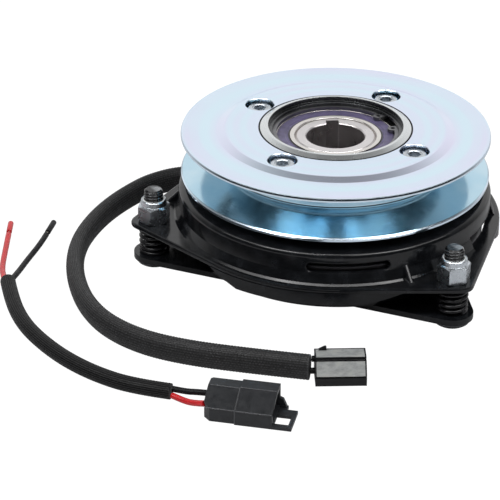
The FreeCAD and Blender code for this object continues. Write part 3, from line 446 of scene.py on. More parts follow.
def plug_painted_light(m):
    """1 on the lead plug's upper faces, where grey painted light lies, and 0 at their edges and the ridge groove."""
    x, y, height = m.node("SeparateXYZ", Vector=m.place).outputs
    upward = m.node("SeparateXYZ", Vector=m.node("NewGeometry").outputs["Normal"]).outputs[2]
    tilt = math.tan(math.radians(LEAD_PLUG_HEADING))
    along = m.math("MULTIPLY_ADD", y, tilt, x)
    across = m.math("MULTIPLY_ADD", x, -tilt, y)
    from_groove = m.math("ABSOLUTE", m.math("SUBTRACT", across, LEAD_PLUG_GROOVE * MM))
    # Faces that turn upward are painted grey as painted light; steep faces stay black.
    painted_light_share = m.spread(upward, 0.0, 1.0, 0.3, 0.45)
    limits = (
        (height, 0.0, 1.0, 4.6, 4.9), (height, 1.0, 0.0, 12.1, 12.3), (along, 0.0, 1.0, -16.0, -15.7),
        (along, 1.0, 0.0, 6.3, 6.6), (across, 1.0, 0.0, -118.2, -117.9), (from_groove, 0.0, 1.0, 0.6, 0.85),
    )
    for place, before, after, start, stop in limits:
        painted_light_share = m.math("MULTIPLY", painted_light_share, m.spread(place, before, after, start * MM, stop * MM))
    return painted_light_share


def plug_plastic():
    """Glossy black nylon whose upper faces are painted a smudged grey inside their edges as painted light."""
    m = Shader("plug_gloss", (0.02, 0.02, 0.022), 0.0, 0.3, Specular_IOR_Level=0.3)
    smudged_painted_light = m.ramp(m.noise(180.0, 6.0, 0.65, (1.0, 2.0, 2.0)), (0.30, (0.20, 0.207, 0.207)),
                    (0.52, (0.31, 0.32, 0.315)), (0.75, (0.38, 0.365, 0.34)))
    m.color(m.mix(plug_painted_light(m), (0.005, 0.005, 0.006), smudged_painted_light))
    m.rough(m.spread(m.noise(240.0, 5.0), 0.25, 0.5))
    return m.bump(m.noise(260.0, 5.0), 0.02).material


def braid_yarn(name, dark, light, shine):
    """Black polyester yarn of a woven sleeve, painted near black away from the rib crests as painted shade."""
    m = Shader(name, dark, 0.0, 0.5, Sheen_Weight=0.02, Specular_IOR_Level=shine)
    # Faces away from the rib crests are painted near black: painted shade between the ribs.
    painted_crest_light = m.spread(m.node("NewGeometry").outputs["Pointiness"], 0.0, 1.0, 0.49, 0.53)
    yarn = m.ramp(m.noise(1600.0, 4.0), (0.3, dark), (0.75, light))
    m.color(m.mix(painted_crest_light, (0.004, 0.004, 0.004), yarn))
    return m.rough(m.spread(m.noise(700.0), 0.38, 0.58)).bump(m.noise(2600.0, 3.0), 0.03).material


def winding_copper():
    """Enamelled copper wire in layers."""
    m = Shader("winding_copper", (0.72, 0.33, 0.17), 1.0, 0.3)
    m.color(m.ramp(m.rings(2.0), (0.35, (0.42, 0.17, 0.08)), (0.6, (0.80, 0.40, 0.22))))
    return m.bump(m.rings(2.4), 0.05).material


def make_materials():
    return {
        "pulley_plate": pulley_plating(),
        "groove_plate": groove_plating_painted_shade(),
        "carrier_steel": carrier_steel(),
        "bearing_steel": turned_steel("bearing_steel", (0.70, 0.68, 0.66), 0.16, 0.002),
        "hub_steel": turned_steel("hub_steel", (0.71, 0.69, 0.70), 0.30, 0.008),
        "rotor_steel": turned_steel("rotor_steel", (0.10, 0.10, 0.11), 0.4, 0.01),
        "zinc": cast_metal("zinc", (0.58, 0.62, 0.66), 0.26),
        "spring_steel": cast_metal("spring_steel", (0.45, 0.46, 0.50), 0.3),
        "black_ring": cast_metal("black_ring", (0.22, 0.22, 0.23), 0.35),
        "black_paint": enamel("black_paint"),
        "spring_paint": enamel("spring_paint", (0.006, 0.006, 0.007), 0.16, 0.006),
        "black_steel": black_steel(),
        "seal_rubber": seal_rubber(),
        "grommet_rubber": plain_rubber("grommet_rubber", (0.014, 0.014, 0.015)),
        "friction": plastic("friction", (0.20, 0.15, 0.11), 0.8, 0.05, 600.0),
        "copper": winding_copper(),
        "resin": plastic("resin", (0.05, 0.035, 0.02), 0.3, 0.03, 200.0),
        "bobbin_nylon": plastic("bobbin_nylon", (0.70, 0.68, 0.62), 0.5, 0.01, 500.0, 0.9),
        "collar_nylon": plastic("collar_nylon", (0.80, 0.82, 0.81), 0.35, 0.01, 800.0, 0.85),
        "sleeve_braid": braid_yarn("sleeve_braid", (0.016, 0.016, 0.017), (0.105, 0.105, 0.109), 0.2),
        "braid_gap_painted_shade": plain_rubber("braid_gap_painted_shade", (0.003, 0.003, 0.003)),
        "adapter_braid": braid_yarn("adapter_braid", (0.003, 0.003, 0.004), (0.010, 0.010, 0.011), 0.1),
        "wire_black": plastic("wire_black", (0.003, 0.003, 0.004), 0.42, 0.01, 900.0, 1.6, 0.2),
        "wire_red": plastic("wire_red", (0.50, 0.008, 0.012), 0.33, 0.01, 900.0, 1.25),
        "plug_gloss": plug_plastic(),
        "plug_matte": plastic("plug_matte", (0.012, 0.013, 0.015), 0.38, 0.010, 900.0, 1.5, 0.4),
        # A lighter copy of the plug's matte plastic for its ribs: a painted highlight.
        "plug_ridge_painted_highlight": plastic("plug_ridge_painted_highlight", (0.045, 0.046, 0.050), 0.30, 0.010, 900.0, 1.3),
        "terminal_brass": cast_metal("terminal_brass", (0.80, 0.76, 0.66), 0.3),
    }


MATERIALS = make_materials()


# ---------------------------------------------------------------- mesh helpers


def mesh_object(name, verts, faces, smooth_angle=SMOOTH_ANGLE):
    """An object from vertices in millimetres."""
    mesh = bpy.data.meshes.new(name)
    mesh.from_pydata([tuple(c * MM for c in vert) for vert in verts], [], faces)
    tidy = bmesh.new()
    tidy.from_mesh(mesh)
    bmesh.ops.recalc_face_normals(tidy, faces=tidy.faces)
    tidy.to_mesh(mesh)
    tidy.free()
    obj = bpy.data.objects.new(name, mesh)
    SCENE.collection.objects.link(obj)
    shade(mesh, smooth_angle)
    return obj


def shade(mesh, angle=SMOOTH_ANGLE):
    """Smooth shading with an edge kept sharp where it turns by more than the angle."""
    mesh.shade_smooth()
    mesh.set_sharp_from_angle(angle=math.radians(angle))


def bake_modifiers(obj):
    """Apply an object's modifiers to its mesh."""
    evaluated = obj.evaluated_get(bpy.context.evaluated_depsgraph_get())
    mesh = bpy.data.meshes.new_from_object(evaluated)
    obj.modifiers.clear()
    obj.data = mesh
    shade(mesh)


def boolean(obj, operation, *tools):
    """Join, cut or intersect with tools, which are then removed."""
    for tool in tools:
        change = obj.modifiers.new("boolean", "BOOLEAN")
        change.operation = operation
        change.solver = "EXACT"
        change.object = tool
    bake_modifiers(obj)
    for tool in tools:
        bpy.data.objects.remove(tool)
    return obj


def bevelled(obj, width_mm, angle):
    """Edges rounded where they turn by more than the angle, and even shading on flat faces."""
    rounding = obj.modifiers.new("rounding", "BEVEL")
    rounding.width = width_mm * MM
    rounding.segments = 2
    rounding.limit_method = "ANGLE"
    rounding.angle_limit = math.radians(angle)
    rounding.harden_normals = False
    return weighted(obj)


def weighted(obj):
    """Even shading on flat faces."""
    even = obj.modifiers.new("even_shading", "WEIGHTED_NORMAL")
    even.keep_sharp = True
    even.weight = 80
    return obj


def piece(obj, body, slot, replaces=(), material=None):
    """Give a piece its material, the body that it moves with and the CAD nodes that it stands for."""
    obj.data.materials.clear()
    obj.data.materials.append(MATERIALS[material or slot])
    if body:
        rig.ride(obj, body)
    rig.slot(obj, slot)
    if replaces:
        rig.replaces(obj, *replaces)
    return obj


def moved(obj, x=0.0, y=0.0, z=0.0, yaw=0.0):
    """Shift an object's mesh by millimetres after turning it about Z by degrees."""
    turn = Matrix.Rotation(math.radians(yaw), 4, "Z")
    obj.data.transform(Matrix.Translation(Vector((x, y, z)) * MM) @ turn)
    return obj


def joined(name, objects):
    """One object made of several meshes."""
    whole = bmesh.new()
    for obj in objects:
        whole.from_mesh(obj.data)
    mesh = bpy.data.meshes.new(name)
    whole.to_mesh(mesh)
    whole.free()
    for obj in objects:
        bpy.data.objects.remove(obj)
    made = bpy.data.objects.new(name, mesh)
    SCENE.collection.objects.link(made)
    shade(mesh)
    return made


def rounded(corners, steps=4):
    """Closed outline of (across, up, corner radius) with each corner turned into an arc."""
    points = []
    count = len(corners)
    for index in range(count):
        before = Vector(corners[index - 1][:2])
        here = Vector(corners[index][:2])
        after = Vector(corners[(index + 1) % count][:2])
        radius = corners[index][2] if len(corners[index]) > 2 else 0.0
        if radius <= 0:
            points.append(here)
            continue
        back = (before - here).normalized()
        ahead = (after - here).normalized()
        half = back.angle(ahead) / 2
        reach = min(radius / math.tan(half), 0.49 * (before - here).length, 0.49 * (after - here).length)
        radius = reach * math.tan(half)
        centre = here + (back + ahead).normalized() * (radius / math.sin(half))
        first = here + back * reach - centre
        turn = -first.angle_signed(here + ahead * reach - centre)
        for step in range(steps + 1):
            points.append(centre + Matrix.Rotation(turn * step / steps, 2) @ first)
    return [(point.x, point.y) for point in points]


def quads(rings, sides):
    """Faces between successive closed rings of the same number of points."""
    faces = []
    for index in range(rings - 1):
        for step in range(sides):
            beside = (step + 1) % sides
            near = index * sides
            far = near + sides
            faces.append([near + step, near + beside, far + beside, far + step])
    return faces


def lathe(name, corners, segments=200, steps=4, smooth_angle=SMOOTH_ANGLE):
    """A ring or a plug turned about Z from a closed profile of (radius, height, corner radius)."""
    profile = rounded(corners, steps)
    verts = []
    rows = []
    for radius, height in profile:
        if radius < 1e-4:
            rows.append([len(verts)] * segments)
            verts.append((0, 0, height))
            continue
        rows.append(list(range(len(verts), len(verts) + segments)))
        for index in range(segments):
            angle = TAU * index / segments
            verts.append((radius * math.cos(angle), radius * math.sin(angle), height))
    faces = []
    for row, following in zip(rows, rows[1:] + rows[:1]):
        for index in range(segments):
            beside = (index + 1) % segments
            corner = [row[index], row[beside], following[beside], following[index]]
            face = list(dict.fromkeys(corner))
            if len(face) > 2:
                faces.append(face)
    return mesh_object(name, verts, faces, smooth_angle)


def prism(name, outline, low, high):
    """A flat outline of (x, y) raised from one height to another."""
    count = len(outline)
    verts = [(x, y, low) for x, y in outline] + [(x, y, high) for x, y in outline]
    faces = [list(range(count)), list(range(count, 2 * count))]
    for index in range(count):
        beside = (index + 1) % count
        faces.append([index, beside, count + beside, count + index])
    return mesh_object(name, verts, faces)


def polygon(sides, radius, turn=0.0):
    """Corners of a regular polygon."""
    angles = [TAU * index / sides + math.radians(turn) for index in range(sides)]
    return [(radius * math.cos(angle), radius * math.sin(angle)) for angle in angles]


def polar(radius, degrees):
    """X and Y of a point at a distance and a bearing."""
    return radius * math.cos(math.radians(degrees)), radius * math.sin(math.radians(degrees))


def carried_frames(line, upright):
    """Each point of a line with its two cross directions and how far along it lies.

    The first cross direction is level all the way if upright, and is carried along without twist if not.
    """
    up = Vector((0, 0, 1))
    ahead = (line[1] - line[0]).normalized()
    side = ahead.cross(up) if upright else ahead.orthogonal()
    along = 0.0
    for index, point in enumerate(line):
        before = line[max(index - 1, 0)]
        after = line[min(index + 1, len(line) - 1)]
        direction = (after - before).normalized()
        if upright:
            side = direction.cross(up)
        side = (side - direction * side.dot(direction)).normalized()
        if index:
            along += (point - line[index - 1]).length
        yield point, side, direction.cross(side), along


def tube(name, line, radius, sides=16, relief=None, smooth_angle=60.0, tall=None):
    """A closed tube along points in millimetres; relief(along, around) adds to the radius.

    With tall, the half height, the section is an upright oval and radius is its half width.
    """
    verts = []
    for point, side, other, along in carried_frames([Vector(point) for point in line], tall is not None):
        for step in range(sides):
            angle = TAU * step / sides
            extra = relief(along, angle) if relief else 0.0
            across = side * math.cos(angle) * (radius + extra)
            verts.append(point + across + other * math.sin(angle) * ((tall or radius) + extra))
    caps = [list(range(sides)), list(range(len(verts) - sides, len(verts)))]
    return mesh_object(name, verts, quads(len(line), sides) + caps, smooth_angle)


def helix(radius, low, high, turns, start=0.0, closing=0.0, per_turn=36):
    """Points of a right-hand helix about Z; closing is the share of a turn that lies flat at each end."""
    points = []
    count = round(turns * per_turn)
    for index in range(count + 1):
        turn = turns * index / count
        rise = min(max((turn - closing) / (turns - 2 * closing), 0.0), 1.0)
        angle = math.radians(start) + TAU * turn
        points.append((radius * math.cos(angle), radius * math.sin(angle), low + (high - low) * rise))
    return points


def spline_line(route):
    """Points in metres along the smooth NURBS curve of a route."""
    curve = spline_object("line", route, 24)
    mesh = bpy.data.meshes.new_from_object(curve)
    line = [vert.co.copy() for vert in mesh.vertices]
    bpy.data.objects.remove(curve)
    return line


def spline_object(name, route, resolution):
    """A smooth NURBS curve with a route's points as its control points."""
    data = bpy.data.curves.new(name, "CURVE")
    data.dimensions = "3D"
    data.resolution_u = resolution
    spline = data.splines.new("NURBS")
    spline.points.add(len(route) - 1)
    for point, place in zip(spline.points, route):
        point.co = (*place, 1.0)
    spline.order_u = 3
    spline.use_endpoint_u = True
    obj = bpy.data.objects.new(name, data)
    SCENE.collection.objects.link(obj)
    return obj


def line_length(line):
    return sum((after - before).length for before, after in zip(line, line[1:]))


def resampled(line, spacing):
    """The same line in even steps."""
    count = max(2, round(line_length(line) / spacing))
    step = line_length(line) / count
    points = [line[0]]
    walked = 0.0
    for before, after in zip(line, line[1:]):
        run = (after - before).length
        while run > 0 and walked + run >= step * len(points) and len(points) < count:
            points.append(before.lerp(after, (step * len(points) - walked) / run))
        walked += run
    return points + [line[-1]]


# ---------------------------------------------------------------- stage, camera and light


def plane_object(name, height, material):
    """A square sheet on the floor, far larger than the view."""
    reach = 4.0
    corners = [(-reach, -reach), (reach, -reach), (reach, reach), (-reach, reach)]
    mesh = bpy.data.meshes.new(name)
    mesh.from_pydata([(x, y, height) for x, y in corners], [], [(0, 1, 2, 3)])
    mesh.materials.append(material)
    obj = bpy.data.objects.new(name, mesh)
    SCENE.collection.objects.link(obj)
    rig.stage(obj)
    return obj


def make_floor():
    """The white sweep that the camera sees, and the greyer one that lights and mirrors the part, its glow painted dim
    under the part as a painted contact shadow.
    """
    shining = (1.0, 1.0, 1.0, 1.0)
    white = Shader("white_sweep", (0.0, 0.0, 0.0), 0.0, 1.0, Emission_Color=shining, Emission_Strength=1.05)
    seen = plane_object("floor", -0.0001, white.material)
    seen.visible_diffuse = False
    seen.visible_glossy = False
    seen.visible_transmission = False
    seen.visible_shadow = False
    grey = Shader("grey_sweep", (0.36, 0.36, 0.37), 0.0, 0.9, Emission_Color=shining)
    # The glow fades under the part: a painted contact shadow.
    glow_with_painted_shadow = grey.spread(grey.radius(), 0.02, 0.28, 90.0, 150.0)
    grey.feed(grey.shader.inputs["Emission Strength"], glow_with_painted_shadow)
    bounce = plane_object("bounce_floor", -0.0002, grey.material)
    bounce.visible_camera = False


# How bright the room is from the camera's side (0) to the wall behind the part (1).
ROOM = ((0.0, 0.03), (0.48, 0.04), (0.70, 0.36), (0.85, 0.95), (1.0, 1.0))

# Soft lights: azimuth, elevation, width, height and the brightness of the face.
LIGHTS = {
    "left_box": (-135.0, 44.0, 0.5, 0.5, 2.0),
    "right_box": (-45.0, 44.0, 0.5, 0.5, 1.2),
    "front_strip": (-90.0, 62.0, 2.6, 0.16, 9.0),
    "right_strip": (-35.0, 51.0, 1.7, 0.24, 4.0),
    "left_strip": (-145.0, 51.0, 1.7, 0.24, 4.0),
}
LIGHT_DISTANCE = 1.4

CAMERA_PLACE = (-0.0419, -1.0889, 0.5796)
CAMERA_PITCH = 62.0
CAMERA_ROLL = 0.003
CAMERA_LENS = 176.05


def make_world():
    """A studio round the part: white wall behind, softer ceiling, dark room on the camera's side."""
    world = bpy.data.worlds.new("studio")
    SCENE.world = world
    world.use_nodes = True
    tree = world.node_tree
    background = tree.nodes["Background"]
    parts = tree.nodes.new("ShaderNodeSeparateXYZ")
    tree.links.new(tree.nodes.new("ShaderNodeTexCoord").outputs["Generated"], parts.inputs[0])
    backward = tree.nodes.new("ShaderNodeValToRGB")
    shift = tree.nodes.new("ShaderNodeMapRange")
    tree.links.new(parts.outputs[1], shift.inputs["Value"])
    shift.inputs["From Min"].default_value = -1.0
    shift.inputs["From Max"].default_value = 1.0
    tree.links.new(shift.outputs[0], backward.inputs[0])
    elements = backward.color_ramp.elements
    while len(elements) < len(ROOM):
        elements.new(0.5)
    for element, (place, value) in zip(elements, ROOM):
        element.position = place
        element.color = (value, value, value, 1.0)
    tree.links.new(backward.outputs[0], background.inputs[0])
    background.inputs[1].default_value = 1.0


def softbox(name, azimuth, elevation, width, height, radiance):
    """A rectangular light aimed at the middle of the part, with the brightness of its face given."""
    data = bpy.data.lights.new(name, "AREA")
    data.shape = "RECTANGLE"
    data.size = width
    data.size_y = height
    data.energy = radiance * math.pi * width * height
    obj = bpy.data.objects.new(name, data)
    SCENE.collection.objects.link(obj)
    out, up = polar(LIGHT_DISTANCE, elevation)
    obj.location = (*polar(out, azimuth), up)
    aim = Vector((0, 0, 0.04)) - obj.location
    obj.rotation_euler = aim.to_track_quat("-Z", "Y").to_euler()
    obj.visible_camera = False


def make_camera():
    """The camera of the main view, turned up from straight down by the pitch."""
    data = bpy.data.cameras.new("camera")
    data.lens = CAMERA_LENS
    data.sensor_width = 36.0
    data.clip_start = 0.05
    data.clip_end = 40.0
    obj = bpy.data.objects.new("camera", data)
    SCENE.collection.objects.link(obj)
    obj.location = CAMERA_PLACE
    pitch = Euler((math.radians(CAMERA_PITCH), 0.0, 0.0)).to_matrix()
    obj.rotation_euler = (pitch @ Matrix.Rotation(CAMERA_ROLL, 3, "Z")).to_euler()
    SCENE.camera = obj


def make_studio():
    """Floor, room, lights and camera."""
    SCENE.view_settings.view_transform = "Standard"
    make_floor()
    make_world()
    for name, values in LIGHTS.items():
        softbox(name, *values)
    make_camera()


# ---------------------------------------------------------------- CAD nodes that stay


# Nodes whose edges are rounded further than the rest, in millimetres.
ROUNDING = {
    "mounting_plate": 0.5, "brake_plate": 0.8, "brake_skirts": 0.5, "rotor": 0.4, "armature": 0.4,
    "lead_plug": 0.35, "adapter_plug": 0.35, "lead_plug_terminals": 0.15, "adapter_plug_terminals": 0.15,
}
SMALL_ROUNDING = 0.2


def dress_nodes():
    """Give every CAD node its slot's finish, rounded edges and even shading."""
    for entry in frame["record"]["subparts"]:
        obj = frame["nodes"][entry["node"]]
        obj.data.materials.clear()
        obj.data.materials.append(MATERIALS[entry["material_slot"]])
        weld = obj.modifiers.new("weld", "WELD")
        weld.merge_threshold = 0.004 * MM
        flatten = obj.modifiers.new("flatten", "DECIMATE")
        flatten.decimate_type = "DISSOLVE"
        flatten.angle_limit = math.radians(0.6)
        bevelled(obj, ROUNDING.get(entry["node"], SMALL_ROUNDING), 35.0)
        # The brake plate keeps the full width even beside its smallest facets.
        obj.modifiers["rounding"].use_clamp_overlap = entry["node"] != "brake_plate"


# ---------------------------------------------------------------- pulley


def groove_faces(obj, first, last):
    """Give the faces that look into the belt groove the darker plating that paints the groove's shade."""
    obj.data.materials.append(MATERIALS["groove_plate"])
    for face in obj.data.polygons:
        radius = math.hypot(face.center.x, face.center.y) / MM
        if 50.0 < radius < PULLEY_RADIUS - 0.3 and first < face.center.z / MM < last:
            face.material_index = 1


def screw_places():
    return [polar(SCREW_CIRCLE, SCREW_START + 360 * index / SCREW_COUNT) for index in range(SCREW_COUNT)]


def make_upper_flange():
    """The upper flange, with a raised web, a chamfered rim and four recesses for the screws."""
    upper = lathe("pulley_upper", [
        (CARRIER_RADIUS, PULLEY_MIDDLE), (GROOVE_ROOT, PULLEY_MIDDLE), (GROOVE_ROOT, 59.56, 1.6),
        (75.75, 65.8, 0.25), (PULLEY_RADIUS, 65.95, 0.1), (PULLEY_RADIUS, 66.75, 0.1), (75.85, 67.55, 0.12),
        (75.6, PULLEY_TOP, 0.12), (58.5, 67.5, 1.2), (54.6, 69.1, 1.6), (37.95, 69.1, 0.1), (37.75, 68.3),
        (CARRIER_RADIUS, 68.3)], 256, 5)
    recesses = []
    for x, y in screw_places():
        recess = lathe("recess", [
            (0, 55.0), (4.2, 55.0), (4.2, 59.75), (7.2, 59.75), (7.2, 68.8), (7.6, 69.3), (7.6, 71),
            (0, 71)], 48)
        recesses.append(moved(recess, x, y))
    boolean(upper, "DIFFERENCE", *recesses)
    piece(upper, "pulley", "pulley_plate", ["pulley_upper_flange"])
    groove_faces(upper, 56.4, 65.85)
    weighted(upper)


def make_lower_flange():
    """The lower flange; a facet along its rim catches the light."""
    lower = lathe("pulley_lower", [
        (CARRIER_RADIUS, 43.0), (62.0, 43.0, 1.0), (64.2, PULLEY_BOTTOM, 1.0),
        (PULLEY_RADIUS, PULLEY_BOTTOM, 0.3), (PULLEY_RADIUS, 46.4, 0.1), (75.72, 46.92, 0.05),
        (75.5, 47.19), (GROOVE_ROOT, 53.34, 1.6), (GROOVE_ROOT, PULLEY_MIDDLE),
        (CARRIER_RADIUS, PULLEY_MIDDLE)], 256, 5)
    piece(lower, "pulley", "pulley_plate", ["pulley_lower_flange"])
    groove_faces(lower, 47.05, 56.5)
    weighted(lower)


def make_screws():
    """Socket-head cap screws with chamfered rims and hexagon sockets."""
    seat = 59.76
    face = PULLEY_TOP - 0.45
    screws = []
    for index, (x, y) in enumerate(screw_places()):
        screw = lathe("screw", [
            (0, 44.7), (3.2, 44.7), (3.97, 45.5), (3.97, seat), (5.95, seat, 0.3),
            (5.95, PULLEY_TOP - 0.1, 0.7),
            (3.9, PULLEY_TOP, 0.3), (3.5, face), (0, face)], 64)
        socket = prism("socket", polygon(6, 3.35, 17.0 * index), PULLEY_TOP - 4.0, PULLEY_TOP + 1.0)
        boolean(screw, "DIFFERENCE", socket)
        screws.append(moved(screw, x, y))
    whole = joined("cap_screws", screws)
    weighted(piece(whole, "pulley", "carrier_steel", ["pulley_screws"], "zinc"))


def make_carrier():
    """Bearing carrier: its bevelled lip stands round the pulley's mouth."""
    outer = CARRIER_RADIUS - 0.05
    carrier = lathe("carrier", [
        (28.5, 49.5, 0.4), (outer, 49.5, 0.6), (outer, 68.5), (37.2, 69.15, 0.05), (34.6, 70.45, 0.8),
        (33.1, 70.6, 0.35), (33.1, 68.3, 0.2), (BEARING_RADIUS, 68.3, 0.3), (BEARING_RADIUS, 67.05),
        (32.6, 67.05), (32.6, 65.12), (BEARING_RADIUS, 65.12), (BEARING_RADIUS, PULLEY_BEARING),
        (28.5, PULLEY_BEARING)],
        256)
    weighted(piece(carrier, "pulley", "carrier_steel", ["bearing_carrier"]))


def seal_ring(low, side):
    """One seal; side is 1 where it faces up and -1 where it faces down."""
    face = low + 0.9 * side
    return lathe("seal", [
        (22.74, low), (28.76, low), (28.76, face - 0.25 * side, 0.1), (28.2, face, 0.2), (24.9, face, 0.2),
        (24.5, face - 0.35 * side, 0.15), (23.7, face - 0.35 * side, 0.15), (23.3, face - 0.05 * side, 0.2),
        (22.74, face - 0.3 * side, 0.1)])


def make_bearing(name, bottom, inner_body, outer_body):
    """Races with rounded corners and a moulded seal on each side, with a bead and a lip groove."""
    top = bottom + BEARING_HEIGHT
    middle = bottom + BEARING_HEIGHT / 2
    land = 3.2
    inner = lathe(name + "_race", [
        (HUB_RADIUS, bottom, 0.7), (22.6, bottom, 0.25), (22.6, bottom + land), (21.9, middle),
        (22.6, top - land), (22.6, top, 0.25), (HUB_RADIUS, top, 0.7)])
    weighted(piece(inner, inner_body, "bearing_steel", [name + "_inner_race"]))
    outer = lathe(name + "_ring", [
        (28.8, bottom, 0.25), (BEARING_RADIUS, bottom, 0.6), (BEARING_RADIUS, top, 0.6), (28.8, top, 0.25),
        (28.8, top - land), (29.5, middle), (28.8, bottom + land)])
    weighted(piece(outer, outer_body, "bearing_steel", [name + "_outer_race"]))
    seals = joined(name + "_seal_pair", [seal_ring(top - 1.15, 1), seal_ring(bottom + 1.15, -1)])
    weighted(piece(seals, outer_body, "seal_rubber", [name + "_seals"]))


def make_hub():
    """Keyed hub with a chamfered mouth."""
    shoulder = FIELD_BEARING + BEARING_HEIGHT
    top = 64.7
    hub = lathe("keyed_hub", [
        (BORE_RADIUS, 0.4, 0.3), (19.2, 0, 0.4), (HUB_RADIUS, 0.8, 0.3), (HUB_RADIUS, shoulder),
        (26.0, shoulder, 0.4), (26.0, 27.0), (24.0, 27.0), (24.0, 31.5), (22.6, 31.5),
        (22.6, PULLEY_BEARING), (HUB_RADIUS, PULLEY_BEARING), (HUB_RADIUS, top - 1.0, 0.3),
        (HUB_RADIUS - 1.0, top, 0.3), (14.9, top, 0.2), (BORE_RADIUS, top - 0.6, 0.2)])
    half = KEY_WIDTH / 2
    reach = BORE_RADIUS + KEY_DEPTH
    key = prism("keyway", [(-half, 0), (half, 0), (half, reach), (-half, reach)], -1, 70)
    boolean(hub, "DIFFERENCE", moved(key, yaw=KEY_YAW))
    weighted(piece(hub, "rotor", "hub_steel", ["hub"]))


# ---------------------------------------------------------------- studs, nuts and springs


def thread_radius(height, share):
    """Radius of the thread's surface at a height and a share of a turn, with the stud's end chamfered."""
    phase = (height / THREAD_PITCH - share) % 1.0
    depth = THREAD_DEPTH * min(1.0, max(0.0, abs(2 * phase - 1) * 1.2 - 0.1))
    chamfer = max(0.0, 1.1 - (STUD_TOP - height))
    return STUD_RADIUS - max(depth, chamfer)


def threaded_stud():
    """A round-headed stud along Z whose upper length carries a helical thread."""
    sides = 40
    per_pitch = 12
    profile = [(0.0, 0.0), (4.4, 0.0), (5.7, 0.05), (7.4, 0.6), (8.5, 1.4), (9.1, 2.3), (9.3, 3.0),
               (9.2, 3.5), (STUD_RADIUS, 3.5), (STUD_RADIUS, THREAD_START)]
    verts = []
    for radius, height in profile:
        for step in range(sides):
            verts.append((*polar(radius, 360 * step / sides), height))
    threaded = STUD_TOP - THREAD_START
    levels = round(threaded / THREAD_PITCH * per_pitch)
    for index in range(1, levels + 1):
        height = THREAD_START + threaded * index / levels
        for step in range(sides):
            verts.append((*polar(thread_radius(height, step / sides), 360 * step / sides), height))
    rings = len(profile) + levels
    end = list(range((rings - 1) * sides, rings * sides))
    return mesh_object("stud", verts, quads(rings, sides) + [end])


def make_studs():
    """The three studs as one piece."""
    studs = [moved(threaded_stud(), *polar(STUD_CIRCLE, angle)) for angle in STUD_ANGLES.values()]
    whole = joined("threaded_studs", studs)
    shade(whole.data, 35.0)
    piece(whole, "field", "black_steel", ["stud_bolts"])


def make_nuts():
    """Lock nuts: chamfered hexagon below, crimped round collar above."""
    corner = NUT_FLATS / 2 / math.cos(math.radians(30))
    hole = STUD_RADIUS + 0.05
    for side, angle in STUD_ANGLES.items():
        hexagon = prism("nut_" + side, polygon(6, corner), 0, NUT_HEIGHT)
        round_form = lathe("form", [
            (hole, 0.5), (5.4, 0), (7.15, 0, 0.3), (8.5, 1.0), (8.5, 7.6), (7.15, 8.55, 0.5),
            (6.45, 9.0, 0.3),
            (6.25, 11.2, 0.5), (5.55, NUT_HEIGHT, 0.15), (5.51, 8.9), (hole, 8.9)], 96)
        boolean(hexagon, "INTERSECT", round_form)
        moved(hexagon, *polar(STUD_CIRCLE, angle), NUT_SEAT, NUT_TURN[side])
        bevelled(piece(hexagon, "nut_" + side, "zinc", ["adjusting_nut_" + side]), 0.18, 38.0)


def make_springs():
    """Black coil springs: the ends lie flat on the plate and under the ears."""
    low = 7.7
    high = 20.1
    springs = []
    for angle in STUD_ANGLES.values():
        line = helix(COIL_RADIUS, low, high, 5.0, angle, 0.35)
        springs.append(moved(tube("spring", line, COIL_WIRE), *polar(STUD_CIRCLE, angle)))
    whole = joined("coil_springs", springs)
    shade(whole.data, 60.0)
    piece(whole, None, "spring_paint", ["brake_springs"])
    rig.blend(whole, "field", "brake", start=(0, 0, (low - 1.0) * MM), end=(0, 0, (high + 1.0) * MM))


def make_fold_fillet():
    """The drafted foot of the drum's wall and its fold into the flange, open at the two side windows."""
    fillet = lathe("fold_fillet", [
        (76.9, 29.2), (77.5, 29.2), (79.2, 24.6, 0.5), (80.1, 23.7), (80.1, 23.3), (76.9, 23.3)], 256, 4,
        40.0)
    windows = []
    for side in ("right", "rear"):
        window = prism("window", [(58.5, -20), (84.5, -20), (84.5, 20), (58.5, 20)], 22.0, 30.1)
        windows.append(moved(window, yaw=STUD_ANGLES[side] + 34.5))
    boolean(fillet, "DIFFERENCE", *windows)
    weighted(piece(fillet, "brake", "black_paint"))


# ---------------------------------------------------------------- lead and adapter harness

# Routes are in metres and the same as the CAD model's; sizes are in millimetres.
LEAD_ROUTE = [
    (-0.0495, 0.0495, 0.0110), (-0.0614, 0.0614, 0.0106), (-0.0782, 0.0650, 0.0094),
    (-0.0949, 0.0586, 0.0078), (-0.1067, 0.0456, 0.0068), (-0.1156, 0.0312, 0.0066),
    (-0.1226, 0.0145, 0.0066), (-0.1276, -0.0048, 0.0066), (-0.1287, -0.0258, 0.0066),
    (-0.1260, -0.0468, 0.0066), (-0.1200, -0.0682, 0.0066), (-0.1096, -0.0872, 0.0066),
    (-0.0928, -0.1026, 0.0066), (-0.0719, -0.1122, 0.0066), (-0.0430, -0.1196, 0.0066),
    (-0.0144, -0.1254, 0.0066),
]
ADAPTER_ROUTE = [
    (-0.0775, -0.1426, 0.0039), (-0.0950, -0.1380, 0.0039), (-0.1120, -0.1278, 0.0039),
    (-0.1266, -0.1146, 0.0039), (-0.1389, -0.0989, 0.0039), (-0.1490, -0.0818, 0.0039),
    (-0.1564, -0.0602, 0.0039), (-0.1604, -0.0392, 0.0039),
]
BLACK_FRONT_ROUTE = [
    (-0.0766, -0.1420, 0.0049), (-0.0705, -0.1444, 0.0049), (-0.0655, -0.1458, 0.0056),
    (-0.0600, -0.1480, 0.0063),
]
RED_FRONT_ROUTE = [
    (-0.0770, -0.1442, 0.0028), (-0.0716, -0.1478, 0.0022), (-0.0670, -0.1516, 0.0032),
    (-0.0620, -0.1564, 0.0060),
]
